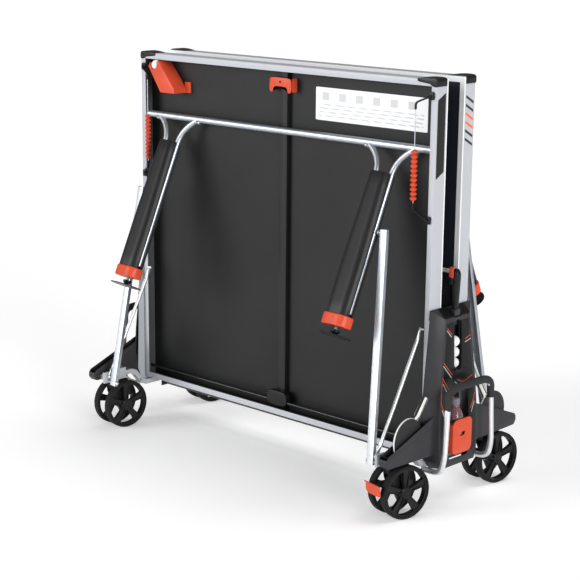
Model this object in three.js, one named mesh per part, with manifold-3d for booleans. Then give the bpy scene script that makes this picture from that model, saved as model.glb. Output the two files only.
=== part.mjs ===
// Folding outdoor table tennis table, in its storage position: both halves stand upright,
// back to back about the net, on a rolling chassis. Millimetres, +Z up. The origin is on the
// floor under the middle of the table; X runs along the net, Y across it.

import * as THREE from 'three';
import { mergeVertices } from 'three/addons/utils/BufferGeometryUtils.js';
import Module from 'manifold-3d';

const wasm = await Module();
wasm.setup();

// Playing halves
const HALF_WIDTH = 1525;
const HALF_LENGTH = 1370;
const BOARD_THICKNESS = 7;
const RIM_DEPTH = 63;
const STEEL = 3;
const FLANGE_WIDTH = 24;
const GUARD_LENGTH = 100;
const GUARD_DROP = 34;
const GUARD_PROUD = 3.5;
const GUARD_RISE = 6.5;
const GAP = 0.3;

// Where a half stands when stored, and when it is opened for play
const STORED_EDGE_HEIGHT = 180;
const STORED_FACE_OFFSET = 46;
const PLAY_HEIGHT = 760;
const PLAY_EDGE_OFFSET = 6;

// Pivots of a half: ALONG is measured from the net edge, BELOW from the playing face
const SHAFT_ALONG = 50;
const SHAFT_BELOW = 42;
const STAY_ALONG = 480;
const STAY_BELOW = 62;
const CROSSBAR_ALONG = 1123;
const CROSSBAR_BELOW = 45;

// Legs
const LEG_X = 556;
const LEG_LEAN = THREE.MathUtils.degToRad(24.8);
const LEG_LENGTH = PLAY_HEIGHT - CROSSBAR_BELOW;
const LEG_TUBE_RADIUS = 11;
const CROSSBAR_RADIUS = 13.5;
const LEG_TUBE_SPREAD = 112;
const LEG_TUBE_HALF_GAUGE = 36;
const LEG_BEND_LENGTH = 112;
const SHELL_END = 640;
const COLLAR_END = 680;
const LINK_DOWN_LEG = 320;

// Stays (round) and links (flat), which hang from pivots on the chassis
const STAY_X = 724;
const STAY_FOOT_HEIGHT = 232;
const STAY_RADIUS = 7;
const LINK_FOOT_X = 698;
const LINK_HEAD_X = 640;
const LINK_FOOT_HEIGHT = 210;
const LINK_WIDTH = 30;
const STUD_RADIUS = 4.7;
const STUD_HOLE_RADIUS = 5.3;

// Chassis ends
const END_TUBE_X = 757;
const END_TUBE_WIDTH = 26;
const END_TUBE_DEPTH = 20;
const END_TUBE_HIGH = 224;
const END_TUBE_LOW = 160;
const MAST_X = 765.5;
const MAST_THICKNESS = 4;
const MAST_TOP = 735;
const SLOT_RADIUS = 7.5;
const POST_X = 790;

// Casters
const CASTER_X = 757;
const CASTER_Y = 272;
const WHEEL_RADIUS = 100;
const WHEEL_SIDES = 20;
const WHEEL_OFFSET = 38.5;
const WHEEL_WIDTH = 30;
const TRAIL = 15;

// Score beads
const BEAD_COUNT = 11;
const BEAD_PITCH = 16.4;
const BEAD_RADIUS = 12.5;

const material = (color, roughness, metalness = 0) =>
  new THREE.MeshStandardMaterial({ color, roughness, metalness });

const WHITE_STEEL = material('#e9e8f0', 0.4, 0.3);
const PLAY_SURFACE = material('#2d3540', 0.6);
const BLACK_STEEL = material('#2a2a2c', 0.5, 0.4);
const ZINC = material('#c5cbd0', 0.35, 0.9);
const CREAM_STEEL = material('#d5d6cf', 0.4, 0.5);
const BLACK_PLASTIC = material('#222224', 0.55);
const CHARCOAL_PLASTIC = material('#3b3b3e', 0.6);
const ORANGE_PLASTIC = material('#f2613f', 0.5);
const TYRE_RUBBER = material('#262626', 0.8);
const NET_BLACK = material('#151515', 0.9);
const BALL_WHITE = material('#f6f6f3', 0.4);
const BOTTLE_CLEAR = material('#8a4a50', 0.1);
const BAT_WOOD = material('#4a3b34', 0.6);

// ---------------------------------------------------------------- solids

function bare(geometry) {
  const plain = geometry.index ? geometry.toNonIndexed() : geometry.clone();
  for (const name of Object.keys(plain.attributes)) {
    if (name !== 'position') plain.deleteAttribute(name);
  }
  return mergeVertices(plain, 1e-4);
}

function toSolid(geometry) {
  const merged = bare(geometry);
  return new wasm.Manifold(new wasm.Mesh({
    numProp: 3,
    vertProperties: new Float32Array(merged.attributes.position.array),
    triVerts: new Uint32Array(merged.index.array),
  }));
}

function toGeometry(solid) {
  const mesh = solid.getMesh();
  const geometry = new THREE.BufferGeometry();
  geometry.setAttribute('position', new THREE.BufferAttribute(mesh.vertProperties, 3));
  geometry.setIndex(new THREE.BufferAttribute(mesh.triVerts, 1));
  geometry.computeVertexNormals();
  return geometry;
}

function join(...geometries) {
  const solids = geometries.map(toSolid);
  return toGeometry(solids.reduce((sum, next) => sum.add(next)));
}

function cut(geometry, ...tools) {
  const start = toSolid(geometry);
  return toGeometry(tools.reduce((left, tool) => left.subtract(toSolid(tool)), start));
}

function mirrored(geometry) {
  const flipped = bare(geometry);
  flipped.scale(-1, 1, 1);
  const index = flipped.index.array;
  for (let i = 0; i < index.length; i += 3) {
    [index[i], index[i + 1]] = [index[i + 1], index[i]];
  }
  flipped.computeVertexNormals();
  return flipped;
}

// ---------------------------------------------------------------- shapes

function block(x0, x1, y0, y1, z0, z1) {
  const box = new THREE.BoxGeometry(x1 - x0, y1 - y0, z1 - z0);
  return box.translate((x0 + x1) / 2, (y0 + y1) / 2, (z0 + z1) / 2);
}

function rodAlongX(radius, x0, x1, y, z, sides = 16) {
  const rod = new THREE.CylinderGeometry(radius, radius, x1 - x0, sides);
  return rod.rotateZ(-Math.PI / 2).translate((x0 + x1) / 2, y, z);
}

function rodAlongZ(radius, x, y, z0, z1, sides = 16) {
  const rod = new THREE.CylinderGeometry(radius, radius, z1 - z0, sides);
  return rod.rotateX(Math.PI / 2).translate(x, y, (z0 + z1) / 2);
}

function turned(profile, sides) {
  const points = profile.map(([radius, height]) => new THREE.Vector2(radius, height));
  return new THREE.LatheGeometry(points, sides).rotateX(Math.PI / 2);
}

// An outline in (y, z), given thickness along x
function plateAcrossX(shape, x0, x1, curveSegments = 6) {
  const plate = new THREE.ExtrudeGeometry(shape, { depth: x1 - x0, bevelEnabled: false, curveSegments });
  const basis = new THREE.Matrix4().makeBasis(
    new THREE.Vector3(0, 1, 0),
    new THREE.Vector3(0, 0, 1),
    new THREE.Vector3(1, 0, 0),
  );
  return plate.applyMatrix4(basis).translate(x0, 0, 0);
}

// An outline in (x, z), given thickness along y
function plateAcrossY(shape, y0, y1, curveSegments = 6) {
  const plate = new THREE.ExtrudeGeometry(shape, { depth: y1 - y0, bevelEnabled: false, curveSegments });
  return plate.rotateX(Math.PI / 2).translate(0, y1, 0);
}

function polygon(points) {
  return new THREE.Shape(points.map(([a, b]) => new THREE.Vector2(a, b)));
}

function roundedSlot(y0, z0, y1, z1, radius) {
  const heading = Math.atan2(z1 - z0, y1 - y0);
  const quarter = Math.PI / 2;
  const slot = new THREE.Shape();
  slot.absarc(y0, z0, radius, heading + quarter, heading + 3 * quarter);
  slot.absarc(y1, z1, radius, heading - quarter, heading + quarter);
  return slot;
}

function roundedRectangle(a0, a1, b0, b1, radius) {
  const shape = new THREE.Shape();
  shape.moveTo(a0 + radius, b0);
  shape.lineTo(a1 - radius, b0);
  shape.absarc(a1 - radius, b0 + radius, radius, -Math.PI / 2, 0);
  shape.lineTo(a1, b1 - radius);
  shape.absarc(a1 - radius, b1 - radius, radius, 0, Math.PI / 2);
  shape.lineTo(a0 + radius, b1);
  shape.absarc(a0 + radius, b1 - radius, radius, Math.PI / 2, Math.PI);
  shape.lineTo(a0, b0 + radius);
  shape.absarc(a0 + radius, b0 + radius, radius, Math.PI, 1.5 * Math.PI);
  return shape;
}

function tubeAlong(curve, radius, steps, sides = 10) {
  const section = new THREE.Shape();
  section.absarc(0, 0, radius, 0, 2 * Math.PI);
  return new THREE.ExtrudeGeometry(section, {
    steps,
    extrudePath: curve,
    bevelEnabled: false,
    curveSegments: sides,
  });
}

// Two outlines of equal length in (y, z), joined by straight sides; each point has its own x
function lofted(backPoints, backX, frontPoints, frontX) {
  const count = backPoints.length;
  const positions = [];
  backPoints.forEach(([y, z]) => positions.push(backX(z), y, z));
  frontPoints.forEach(([y, z]) => positions.push(frontX(z), y, z));
  const outline = (points) => points.map(([y, z]) => new THREE.Vector2(y, z));
  const index = [];
  for (const [a, b, c] of THREE.ShapeUtils.triangulateShape(outline(backPoints), [])) {
    index.push(a, c, b);
  }
  for (const [a, b, c] of THREE.ShapeUtils.triangulateShape(outline(frontPoints), [])) {
    index.push(count + a, count + b, count + c);
  }
  for (let i = 0; i < count; i++) {
    const next = (i + 1) % count;
    index.push(i, next, count + next);
    index.push(i, count + next, count + i);
  }
  const geometry = new THREE.BufferGeometry();
  geometry.setAttribute('position', new THREE.Float32BufferAttribute(positions, 3));
  geometry.setIndex(index);
  return geometry;
}

function named(name, geometry, finish) {
  const mesh = new THREE.Mesh(geometry, finish);
  mesh.name = name;
  return mesh;
}

// ---------------------------------------------------------------- linkage

// The height or offset of a fixed pivot that is equally far from both places of a moving pin
function equidistant(stored, open, knownZ) {
  const middle = stored.clone().add(open).multiplyScalar(0.5);
  const across = open.clone().sub(stored);
  return middle.x - ((knownZ - middle.y) * across.y) / across.x;
}

const stayHeadStored = new THREE.Vector2(
  -STORED_FACE_OFFSET - STAY_BELOW,
  STORED_EDGE_HEIGHT + STAY_ALONG,
);
const stayHeadOpen = new THREE.Vector2(-PLAY_EDGE_OFFSET - STAY_ALONG, PLAY_HEIGHT - STAY_BELOW);
const STAY_FOOT_Y = equidistant(stayHeadStored, stayHeadOpen, STAY_FOOT_HEIGHT);

const crossbarStored = new THREE.Vector2(
  -STORED_FACE_OFFSET - CROSSBAR_BELOW,
  STORED_EDGE_HEIGHT + CROSSBAR_ALONG,
);
const legDown = new THREE.Vector2(-Math.sin(LEG_LEAN), -Math.cos(LEG_LEAN));
const linkHeadStored = crossbarStored.clone().addScaledVector(legDown, LINK_DOWN_LEG);
const linkHeadOpen = new THREE.Vector2(
  -PLAY_EDGE_OFFSET - CROSSBAR_ALONG,
  PLAY_HEIGHT - CROSSBAR_BELOW - LINK_DOWN_LEG,
);
const LINK_FOOT_Y = equidistant(linkHeadStored, linkHeadOpen, LINK_FOOT_HEIGHT);

const shaftStored = new THREE.Vector2(
  -STORED_FACE_OFFSET - SHAFT_BELOW,
  STORED_EDGE_HEIGHT + SHAFT_ALONG,
);
const shaftOpen = new THREE.Vector2(-PLAY_EDGE_OFFSET - SHAFT_ALONG, PLAY_HEIGHT - SHAFT_BELOW);

// ---------------------------------------------------------------- one playing half
// A half's own frame: playing face at y = 0, underside towards -y, net edge at z = 0

function board() {
  return block(-HALF_WIDTH / 2, HALF_WIDTH / 2, -BOARD_THICKNESS, 0, 0, HALF_LENGTH);
}

function apronFrame() {
  const half = HALF_WIDTH / 2;
  const back = -BOARD_THICKNESS - GAP;
  const guard = block(
    half - GUARD_LENGTH, half + GUARD_PROUD, -RIM_DEPTH - 2.5, back - 0.4,
    HALF_LENGTH - GUARD_DROP, HALF_LENGTH + GUARD_RISE,
  );
  const rim = block(-half, half, -RIM_DEPTH, back, 0, HALF_LENGTH);
  const outer = join(rim, guard, mirrored(guard));
  const inside = block(
    -half + STEEL, half - STEEL, -RIM_DEPTH + STEEL, back + 1, STEEL, HALF_LENGTH - STEEL,
  );
  const window = block(
    -half + FLANGE_WIDTH, half - FLANGE_WIDTH, -RIM_DEPTH - 4, back + 1,
    FLANGE_WIDTH, HALF_LENGTH - FLANGE_WIDTH,
  );
  const shaftHole = rodAlongX(6.5, -half - 1, half + 1, -SHAFT_BELOW, SHAFT_ALONG, 12);
  const crossbarHole = rodAlongX(8, -half - 1, half + 1, -CROSSBAR_BELOW, CROSSBAR_ALONG, 12);
  const ring = cut(outer, inside, window, shaftHole, crossbarHole);
  const boss = rodAlongX(8, half - FLANGE_WIDTH - 0.3, half - 1, -STAY_BELOW, STAY_ALONG, 12);
  return join(ring, boss, mirrored(boss));
}

function centreRail() {
  const top = -BOARD_THICKNESS - GAP;
  const hat = block(-20.5, 20.5, top - 18, top, STEEL + 0.5, HALF_LENGTH - STEEL - 0.5);
  const rail = cut(hat, block(-17.5, 17.5, top - 15, top + 1, STEEL, HALF_LENGTH));
  const bearing = block(-53, 53, -52, top - 17, 32, 92);
  const bearingHole = rodAlongX(6.6, -60, 60, -SHAFT_BELOW, SHAFT_ALONG, 12);
  const clasp = block(-54, 54, -40, top, 1268, 1320);
  const claspArch = block(-34, 34, -41, top - 18.5, 1260, 1284);
  return cut(join(rail, bearing, clasp), bearingHole, claspArch);
}

function pivotShaft() {
  const end = MAST_X + MAST_THICKNESS;
  const shaft = rodAlongX(5.6, -end, end, 0, 0, 12);
  const roller = rodAlongX(6.8, MAST_X - 0.5, end, 0, 0, 12);
  return join(shaft, roller, mirrored(roller));
}

// A leg's own frame: crossbar axis along x at the origin, the leg running towards -z
function legTubePair() {
  const bendStart = new THREE.Vector3(LEG_TUBE_SPREAD, 0, -2);
  const bendEnd = new THREE.Vector3(LEG_TUBE_HALF_GAUGE, 0, -LEG_BEND_LENGTH);
  const bend = new THREE.CubicBezierCurve3(
    bendStart,
    new THREE.Vector3(LEG_TUBE_SPREAD - 34, 0, -22),
    new THREE.Vector3(LEG_TUBE_HALF_GAUGE, 0, -54),
    bendEnd,
  );
  const bentEnd = tubeAlong(bend, LEG_TUBE_RADIUS, 4, 4);
  const straight = rodAlongZ(
    LEG_TUBE_RADIUS, LEG_TUBE_HALF_GAUGE, 0, -SHELL_END + 14, -LEG_BEND_LENGTH + 1, 8,
  );
  const tube = join(bentEnd, straight);
  const toe = block(-42, 42, -11, 8, -SHELL_END + 6, -SHELL_END + 14.5);
  const screwHole = rodAlongZ(7.4, 0, 0, -SHELL_END, -SHELL_END + 20, 10);
  return cut(join(tube, mirrored(tube), toe), screwHole);
}

function legFrame() {
  const bar = rodAlongX(CROSSBAR_RADIUS, -757, 757, 0, 0, 12);
  const pins = rodAlongX(7, -763.5, 763.5, 0, 0, 12);
  const right = legTubePair().translate(LEG_X, 0, 0);
  const left = legTubePair().translate(-LEG_X, 0, 0);
  return join(bar, pins, right, left);
}

function shellSection(inset) {
  const back = 15 - inset;
  const front = -40 + inset;
  const outline = [
    [46 - inset, back],
    [53 - inset, back - 9],
    [54 - inset, -12],
    [40 - inset, front],
  ];
  const left = outline.map(([x, y]) => [-x, y]).reverse();
  return polygon([...outline, ...left]);
}

// An outline in (x, y), given height along z
function prism(shape, z0, z1, curveSegments = 3) {
  const depth = z1 - z0;
  const upright = new THREE.ExtrudeGeometry(shape, { depth, bevelEnabled: false, curveSegments });
  return upright.translate(0, 0, z0);
}

function legShell() {
  const top = -LEG_BEND_LENGTH + 2;
  const casing = cut(
    prism(shellSection(0), -SHELL_END, top),
    prism(shellSection(3), -SHELL_END - 1, top + 1),
  );
  const sideSlot = block(-60, 60, -7, 5, -SHELL_END + 34, top - 26);
  const slotted = cut(casing, sideSlot);
  const collar = cut(
    prism(shellSection(-4), -COLLAR_END, -SHELL_END + 2),
    prism(shellSection(2.5), -COLLAR_END + 4, -SHELL_END + 3),
    rodAlongZ(9, 0, 0, -COLLAR_END - 1, -COLLAR_END + 5, 16),
  );
  return join(slotted, collar);
}

function foot() {
  return turned([
    [0, -LEG_LENGTH],
    [64, -LEG_LENGTH],
    [64, -LEG_LENGTH + 4],
    [10, -LEG_LENGTH + 7],
    [9, -LEG_LENGTH + 12],
    [17, -LEG_LENGTH + 18],
    [17, -LEG_LENGTH + 23],
    [6, -LEG_LENGTH + 24.5],
    [6, -SHELL_END + 2],
    [0, -SHELL_END + 2],
  ], 14);
}

function scoreBeads() {
  const profile = [[0, 0], [8, 0]];
  for (let i = 0; i < BEAD_COUNT; i++) {
    const z = i * BEAD_PITCH;
    profile.push([BEAD_RADIUS, z + BEAD_PITCH / 2], [8, z + BEAD_PITCH]);
  }
  profile.push([0, BEAD_COUNT * BEAD_PITCH]);
  return turned(profile, 6);
}

function ballHolder() {
  const outline = polygon([
    [-704, 1318], [-690, 1342], [-646, 1342], [-556, 1240], [-552, 1218], [-634, 1218],
  ]);
  const body = plateAcrossY(outline, -78, -BOARD_THICKNESS - 0.6);
  const ballCup = new THREE.SphereGeometry(22, 10, 8).translate(-672, -64, 1324);
  const mouth = block(-694, -650, -78.5, -42, 1324, 1345);
  const tab = block(-556, -524, -16, -BOARD_THICKNESS - 0.6, 1218, 1262);
  return join(cut(body, ballCup, mouth), tab);
}

function playingHalf(side) {
  const half = new THREE.Group();
  half.position.set(0, -STORED_FACE_OFFSET, STORED_EDGE_HEIGHT);
  half.add(named(`${side}_playing_board`, board(), PLAY_SURFACE));
  half.add(named(`${side}_apron_frame`, apronFrame(), WHITE_STEEL));
  half.add(named(`${side}_centre_rail`, centreRail(), BLACK_STEEL));
  half.add(named(`${side}_ball_dispenser`, ballHolder(), ORANGE_PLASTIC));

  const shaft = named(`${side}_pivot_shaft`, pivotShaft(), BLACK_STEEL);
  shaft.position.set(0, -SHAFT_BELOW, SHAFT_ALONG);
  half.add(shaft);

  const legs = new THREE.Group();
  legs.position.set(0, -CROSSBAR_BELOW, CROSSBAR_ALONG);
  legs.rotation.x = -LEG_LEAN;
  legs.add(named(`${side}_leg_frame`, legFrame(), ZINC));
  half.add(legs);

  for (const [hand, sign] of handsOf(side)) {
    const shell = named(`${side}_leg_shell_${hand}`, legShell(), BLACK_PLASTIC);
    shell.position.x = sign * LEG_X;
    const pad = named(`${side}_foot_${hand}`, foot(), BLACK_PLASTIC);
    pad.position.x = sign * LEG_X;
    legs.add(shell, pad);

    const beads = named(`${side}_score_beads_${hand}`, scoreBeads(), ORANGE_PLASTIC);
    beads.position.set(sign * 694, -92, 945);
    half.add(beads);
  }
  return half;
}

// The rear half is the front one turned half a turn about Z, so its +x end is the left one
function handsOf(side) {
  return side === 'front' ? [['right', 1], ['left', -1]] : [['left', 1], ['right', -1]];
}

// ---------------------------------------------------------------- stays and links

function stay() {
  const foot = new THREE.Vector3(STAY_X, STAY_FOOT_Y, STAY_FOOT_HEIGHT);
  const head = new THREE.Vector3(STAY_X, stayHeadStored.x, stayHeadStored.y);
  const along = head.clone().sub(foot).normalize();
  const start = foot.clone().addScaledVector(along, 6);
  const end = head.clone().addScaledVector(along, -6);
  const tube = tubeAlong(new THREE.LineCurve3(start, end), STAY_RADIUS, 1, 4);
  const footEye = rodAlongX(11, STAY_X - 5, STAY_X + 5, foot.y, foot.z, 10);
  const headEye = rodAlongX(8, STAY_X - 5, STAY_X + 5, head.y, head.z, 10);
  const headPin = rodAlongX(5, STAY_X - 9, HALF_WIDTH / 2 - FLANGE_WIDTH - 1, head.y, head.z, 8);
  const hole = rodAlongX(STUD_HOLE_RADIUS, STAY_X - 8, STAY_X + 8, foot.y, foot.z, 10);
  return join(cut(join(tube, footEye), hole), headEye, headPin);
}

function link() {
  const foot = new THREE.Vector3(LINK_FOOT_X, LINK_FOOT_Y, LINK_FOOT_HEIGHT);
  const head = new THREE.Vector3(LINK_HEAD_X, linkHeadStored.x, linkHeadStored.y);
  const along = head.clone().sub(foot);
  const length = along.length();
  along.normalize();
  const across = new THREE.Vector3(1, 0, 0).addScaledVector(along, -along.x).normalize();
  const outward = new THREE.Vector3().crossVectors(along, across);
  const frame = new THREE.Matrix4().makeBasis(across, outward, along).setPosition(foot);
  const half = LINK_WIDTH / 2;
  const wall = 2.5;
  const web = block(-half, half, -8, -8 + wall, -12, length + 14);
  const lip = block(half - wall, half, -8, 8, -12, length + 14);
  const channel = join(web, lip, mirrored(lip)).applyMatrix4(frame);
  const hole = rodAlongX(STUD_HOLE_RADIUS, LINK_FOOT_X - 25, LINK_FOOT_X + 25, foot.y, foot.z, 10);
  const headPin = rodAlongX(5, LEG_X + 55.5, LINK_HEAD_X + half - 1, head.y, head.z, 8);
  return join(cut(channel, hole), headPin);
}

function linkageOf(side) {
  const group = new THREE.Group();
  for (const [hand, sign] of handsOf(side)) {
    const turn = (geometry) => (sign > 0 ? geometry : mirrored(geometry));
    group.add(named(`${side}_stay_${hand}`, turn(stay()), ZINC));
    group.add(named(`${side}_link_${hand}`, turn(link()), ZINC));
  }
  return group;
}

// ---------------------------------------------------------------- chassis

function endTubeShape() {
  const half = END_TUBE_DEPTH / 2;
  const shape = new THREE.Shape();
  const high = END_TUBE_HIGH;
  const low = END_TUBE_LOW;
  shape.moveTo(-352, high - half);
  shape.lineTo(-206, high - half);
  shape.bezierCurveTo(-170, high - half, -163, low - half, -122, low - half);
  shape.lineTo(122, low - half);
  shape.bezierCurveTo(163, low - half, 170, high - half, 206, high - half);
  shape.lineTo(352, high - half);
  shape.lineTo(352, high + half);
  shape.lineTo(200, high + half);
  shape.bezierCurveTo(158, high + half, 151, low + half, 116, low + half);
  shape.lineTo(-116, low + half);
  shape.bezierCurveTo(-151, low + half, -158, high + half, -200, high + half);
  shape.lineTo(-352, high + half);
  return shape;
}

function endFrame() {
  const inner = END_TUBE_X - END_TUBE_WIDTH / 2;
  const outer = END_TUBE_X + END_TUBE_WIDTH / 2;
  const tube = plateAcrossX(endTubeShape(), inner, outer, 4);
  const pieces = [tube];
  const holes = [];
  const mastOutline = polygon([
    [-118, 152], [118, 152], [145, 222], [134, 560], [116, MAST_TOP], [-116, MAST_TOP],
    [-134, 560], [-145, 222],
  ]);
  pieces.push(plateAcrossX(mastOutline, MAST_X, MAST_X + MAST_THICKNESS));
  const guide = block(MAST_X + 1, POST_X + 12, -16, 16, 704, 728);
  pieces.push(guide);
  holes.push(block(POST_X - 6.6, POST_X + 6.6, -10.6, 10.6, 700, 735));
  for (const sign of [-1, 1]) {
    const knuckle = block(738, 769, sign * CASTER_Y - 33, sign * CASTER_Y + 33, 204, 250);
    pieces.push(knuckle);
    holes.push(rodAlongZ(7.8, CASTER_X, sign * CASTER_Y, 200, 241, 10));
    const near = Math.min(sign * 316, sign * 362);
    const far = Math.max(sign * 316, sign * 362);
    pieces.push(block(734, inner + 1, near, far, 203, 248));
    const stayFoot = [sign * -STAY_FOOT_Y, STAY_FOOT_HEIGHT];
    const linkFoot = [sign * -LINK_FOOT_Y, LINK_FOOT_HEIGHT];
    pieces.push(rodAlongX(STUD_RADIUS, STAY_X - 9, inner, ...stayFoot, 8));
    pieces.push(rodAlongX(STUD_RADIUS, LINK_FOOT_X - 18, inner, ...linkFoot, 8));
    const slot = roundedSlot(
      sign * -shaftStored.x, shaftStored.y, sign * -shaftOpen.x, shaftOpen.y, SLOT_RADIUS,
    );
    holes.push(plateAcrossX(slot, MAST_X - 1, MAST_X + MAST_THICKNESS + 1, 3));
  }
  return cut(join(...pieces), ...holes);
}

function crossBeam() {
  const reach = END_TUBE_X - END_TUBE_WIDTH / 2 - GAP;
  const tube = rodAlongX(20, -reach, reach, 0, 148, 16);
  const plate = block(reach - 5, reach, -34, 34, 127, 172);
  return join(tube, plate, mirrored(plate));
}

const COVER_BACK = 770.2;
const frontFaceX = (z) => 805 + (700 - z) * 0.045;

// The cover's outline (y, z) at its back and front, for a given inset of the walls
function towerOutline(back, inset) {
  const right = back
    ? [[118, 735], [135, 560], [144, 470], [152, 390], [156, 300], [140, 190], [124, 172], [100, 142]]
    : [[70, 702], [86, 600], [100, 480], [110, 380], [112, 280], [108, 190], [104, 172], [92, 150]];
  const topEdge = 640;
  const shrunk = right.map(([y, z]) => [y - inset, z > topEdge ? z - inset : z]);
  shrunk[shrunk.length - 1][1] += inset;
  shrunk[shrunk.length - 2][1] += inset;
  const left = shrunk.map(([y, z]) => [-y, z]).reverse();
  return [...left, ...shrunk].reverse();
}

function wingOutline(sign, inset, openTop) {
  const lift = openTop ? 60 : 0;
  const points = [
    [120, 352 + lift], [120, 206 + inset], [372 - inset, 212 + inset],
    [384 - inset, 226], [384 - inset, 244 + lift], [374 - inset, 256 + lift],
  ];
  const placed = points.map(([y, z]) => [sign * y, z]);
  return sign > 0 ? placed : placed.reverse();
}

function endCover() {
  const flat = (x) => () => x;
  const tower = lofted(
    towerOutline(true, 0), flat(COVER_BACK), towerOutline(false, 0), frontFaceX,
  );
  const hollow = lofted(
    towerOutline(true, 3.2), flat(COVER_BACK - 1), towerOutline(false, 3.2), (z) => frontFaceX(z) - 3,
  );
  const pieces = [];
  const holes = [hollow];
  for (const sign of [-1, 1]) {
    const outline = wingOutline(sign, 0, false);
    pieces.push(lofted(outline, flat(COVER_BACK), outline, flat(807)));
    const pocket = wingOutline(sign, 3, true);
    holes.push(lofted(pocket, flat(COVER_BACK + 3), pocket, flat(804)));
  }
  const wings = cut(join(...pieces), toGeometry(toSolid(tower)), ...holes.slice(1));
  const shell = cut(tower, hollow);
  const ballSlot = plateAcrossX(roundedRectangle(-21, 21, 510, 690, 18), 790, 830, 3);
  const bottleBay = plateAcrossX(roundedRectangle(-61, 61, 176, 432, 20), 790, 860, 3);
  const postNotch = block(760, 840, -20, 20, 701, 760);
  const open = cut(join(shell, wings), ballSlot, bottleBay, postNotch);
  const ledge = block(774, 813, -19, 19, 503, 507);
  return join(open, ledge);
}

function bumperCurve() {
  const path = new THREE.CurvePath();
  const point = (x, y, z) => new THREE.Vector3(x, y, z);
  const side = (sign) => [
    point(771, sign * 138, 150),
    point(812, sign * 138, 150),
    point(852, sign * 139, 164),
    point(872, sign * 139, 204),
    point(871, sign * 133, 300),
    point(870, sign * 126, 400),
    point(870, sign * 104, 442),
    point(870, sign * 56, 462),
  ];
  const points = [...side(-1), point(870, 0, 466), ...side(1).reverse()];
  path.add(new THREE.CatmullRomCurve3(points, false, 'centripetal'));
  return path;
}

function bumperTube() {
  return tubeAlong(bumperCurve(), 10.5, 24, 4);
}

function bottleHolder() {
  const front = plateAcrossX(roundedRectangle(-56, 56, 196, 326, 22), 840, 844, 3);
  const emblem = plateAcrossX(polygon([[-14, 262], [12, 262], [18, 276], [-8, 276]]), 830, 850);
  const sides = cut(
    plateAcrossX(roundedRectangle(-56, 56, 196, 326, 22), 800, 843, 3),
    plateAcrossX(roundedRectangle(-53, 53, 199, 340, 20), 799, 845, 3),
  );
  const floor = block(776, 842, -34, 34, 196, 199);
  const strap = block(770.2, 773.4, -34, 34, 196, 440);
  const bridge = block(773, 779, -34, 34, 196, 199);
  return cut(join(front, sides, floor, bridge, strap), emblem);
}

function bottle() {
  return turned([
    [0, 199.6], [27, 199.6], [31, 204], [31, 322], [29, 340], [14, 366], [14, 372],
    [15.5, 372.5], [15.5, 396], [0, 396],
  ], 16).translate(808, 0, 0);
}

function spareBalls() {
  const balls = [0, 1, 2].map((i) =>
    new THREE.SphereGeometry(20, 10, 6).rotateX(Math.PI / 2).translate(791.5, 0, 527.5 + i * 40));
  return join(rodAlongZ(3, 791.5, 0, 540, 600, 4), ...balls);
}

// A bat in the plane x = 0, centred on its blade, with the handle towards +z
function bat() {
  const blade = new THREE.Shape();
  blade.absellipse(0, 0, 75, 78, 0, 2 * Math.PI);
  const disc = plateAcrossX(blade, -5, 5, 10);
  const neck = plateAcrossX(polygon([[-26, 60], [26, 60], [14, 92], [-14, 92]]), -5, 5);
  const grip = plateAcrossX(roundedRectangle(-14, 14, 80, 165, 6), -11, 11, 2);
  return join(disc, neck, grip);
}

// ---------------------------------------------------------------- net

function netPost() {
  const grip = prism(roundedRectangle(POST_X - 17, POST_X + 17, -15, 15, 9), 737, 868);
  const crown = prism(roundedRectangle(POST_X - 13, POST_X + 13, -11, 11, 8), 860, 877);
  const stem = block(POST_X - 6, POST_X + 6, -10, 10, 668, 740);
  const blade = block(764, POST_X - 10, -2, 2, 745, 860);
  return join(grip, crown, stem, blade);
}

function tensionLever() {
  const arm = block(POST_X - 17, POST_X + 3, -21.5, -15.8, 819, 872);
  const tip = block(POST_X - 17, POST_X + 3, -21.5, -12, 877.4, 882);
  const bend = block(POST_X - 17, POST_X + 3, -21.5, -17, 870, 882);
  return join(arm, bend, tip);
}

// ---------------------------------------------------------------- casters
// A caster's own frame: kingpin axis at x = y = 0, floor at z = 0, axle along x

function wheel() {
  const rimProfile = [[80, -15], [100, -11], [100, 11], [80, 15], [80, -15]];
  const flat = 1 / Math.cos(Math.PI / WHEEL_SIDES);
  const scaled = rimProfile.map(([radius, across]) => [radius * flat, across]);
  const rim = turned(scaled, WHEEL_SIDES);
  const pieces = [rim, rodAlongZ(20, 0, 0, -14, 14, 8)];
  for (let i = 0; i < 5; i++) {
    const spoke = block(-8, 8, 14, 83, -8, 8);
    pieces.push(spoke.rotateZ((i * 2 * Math.PI) / 5));
  }
  const upright = join(...pieces).rotateZ(Math.PI / WHEEL_SIDES);
  return upright.rotateY(Math.PI / 2);
}

function twinWheels() {
  const outer = wheel().translate(WHEEL_OFFSET, TRAIL, WHEEL_RADIUS);
  const axle = rodAlongX(6, -WHEEL_OFFSET, WHEEL_OFFSET, TRAIL, WHEEL_RADIUS, 8);
  return join(outer, mirrored(outer), axle);
}

function fork() {
  const cheek = new THREE.Shape();
  cheek.moveTo(-34, 201);
  cheek.lineTo(-44, 186);
  cheek.lineTo(-38, 150);
  cheek.lineTo(TRAIL - 24, 88);
  cheek.absarc(TRAIL, WHEEL_RADIUS, 26, Math.PI + 0.4, 2 * Math.PI - 0.4);
  cheek.lineTo(52, 176);
  cheek.lineTo(40, 201);
  const body = plateAcrossX(cheek, -20, 20, 4);
  const stem = rodAlongZ(7, 0, 0, 198, 238, 12);
  const hub = rodAlongZ(24, 0, 0, 196, 203.4, 16);
  const axleHole = rodAlongX(6.6, -22, 22, TRAIL, WHEEL_RADIUS, 12);
  const pedalSlot = block(-14.5, 14.5, -50, -8, 116, 166);
  return cut(join(body, stem, hub), axleHole, pedalSlot);
}

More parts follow.
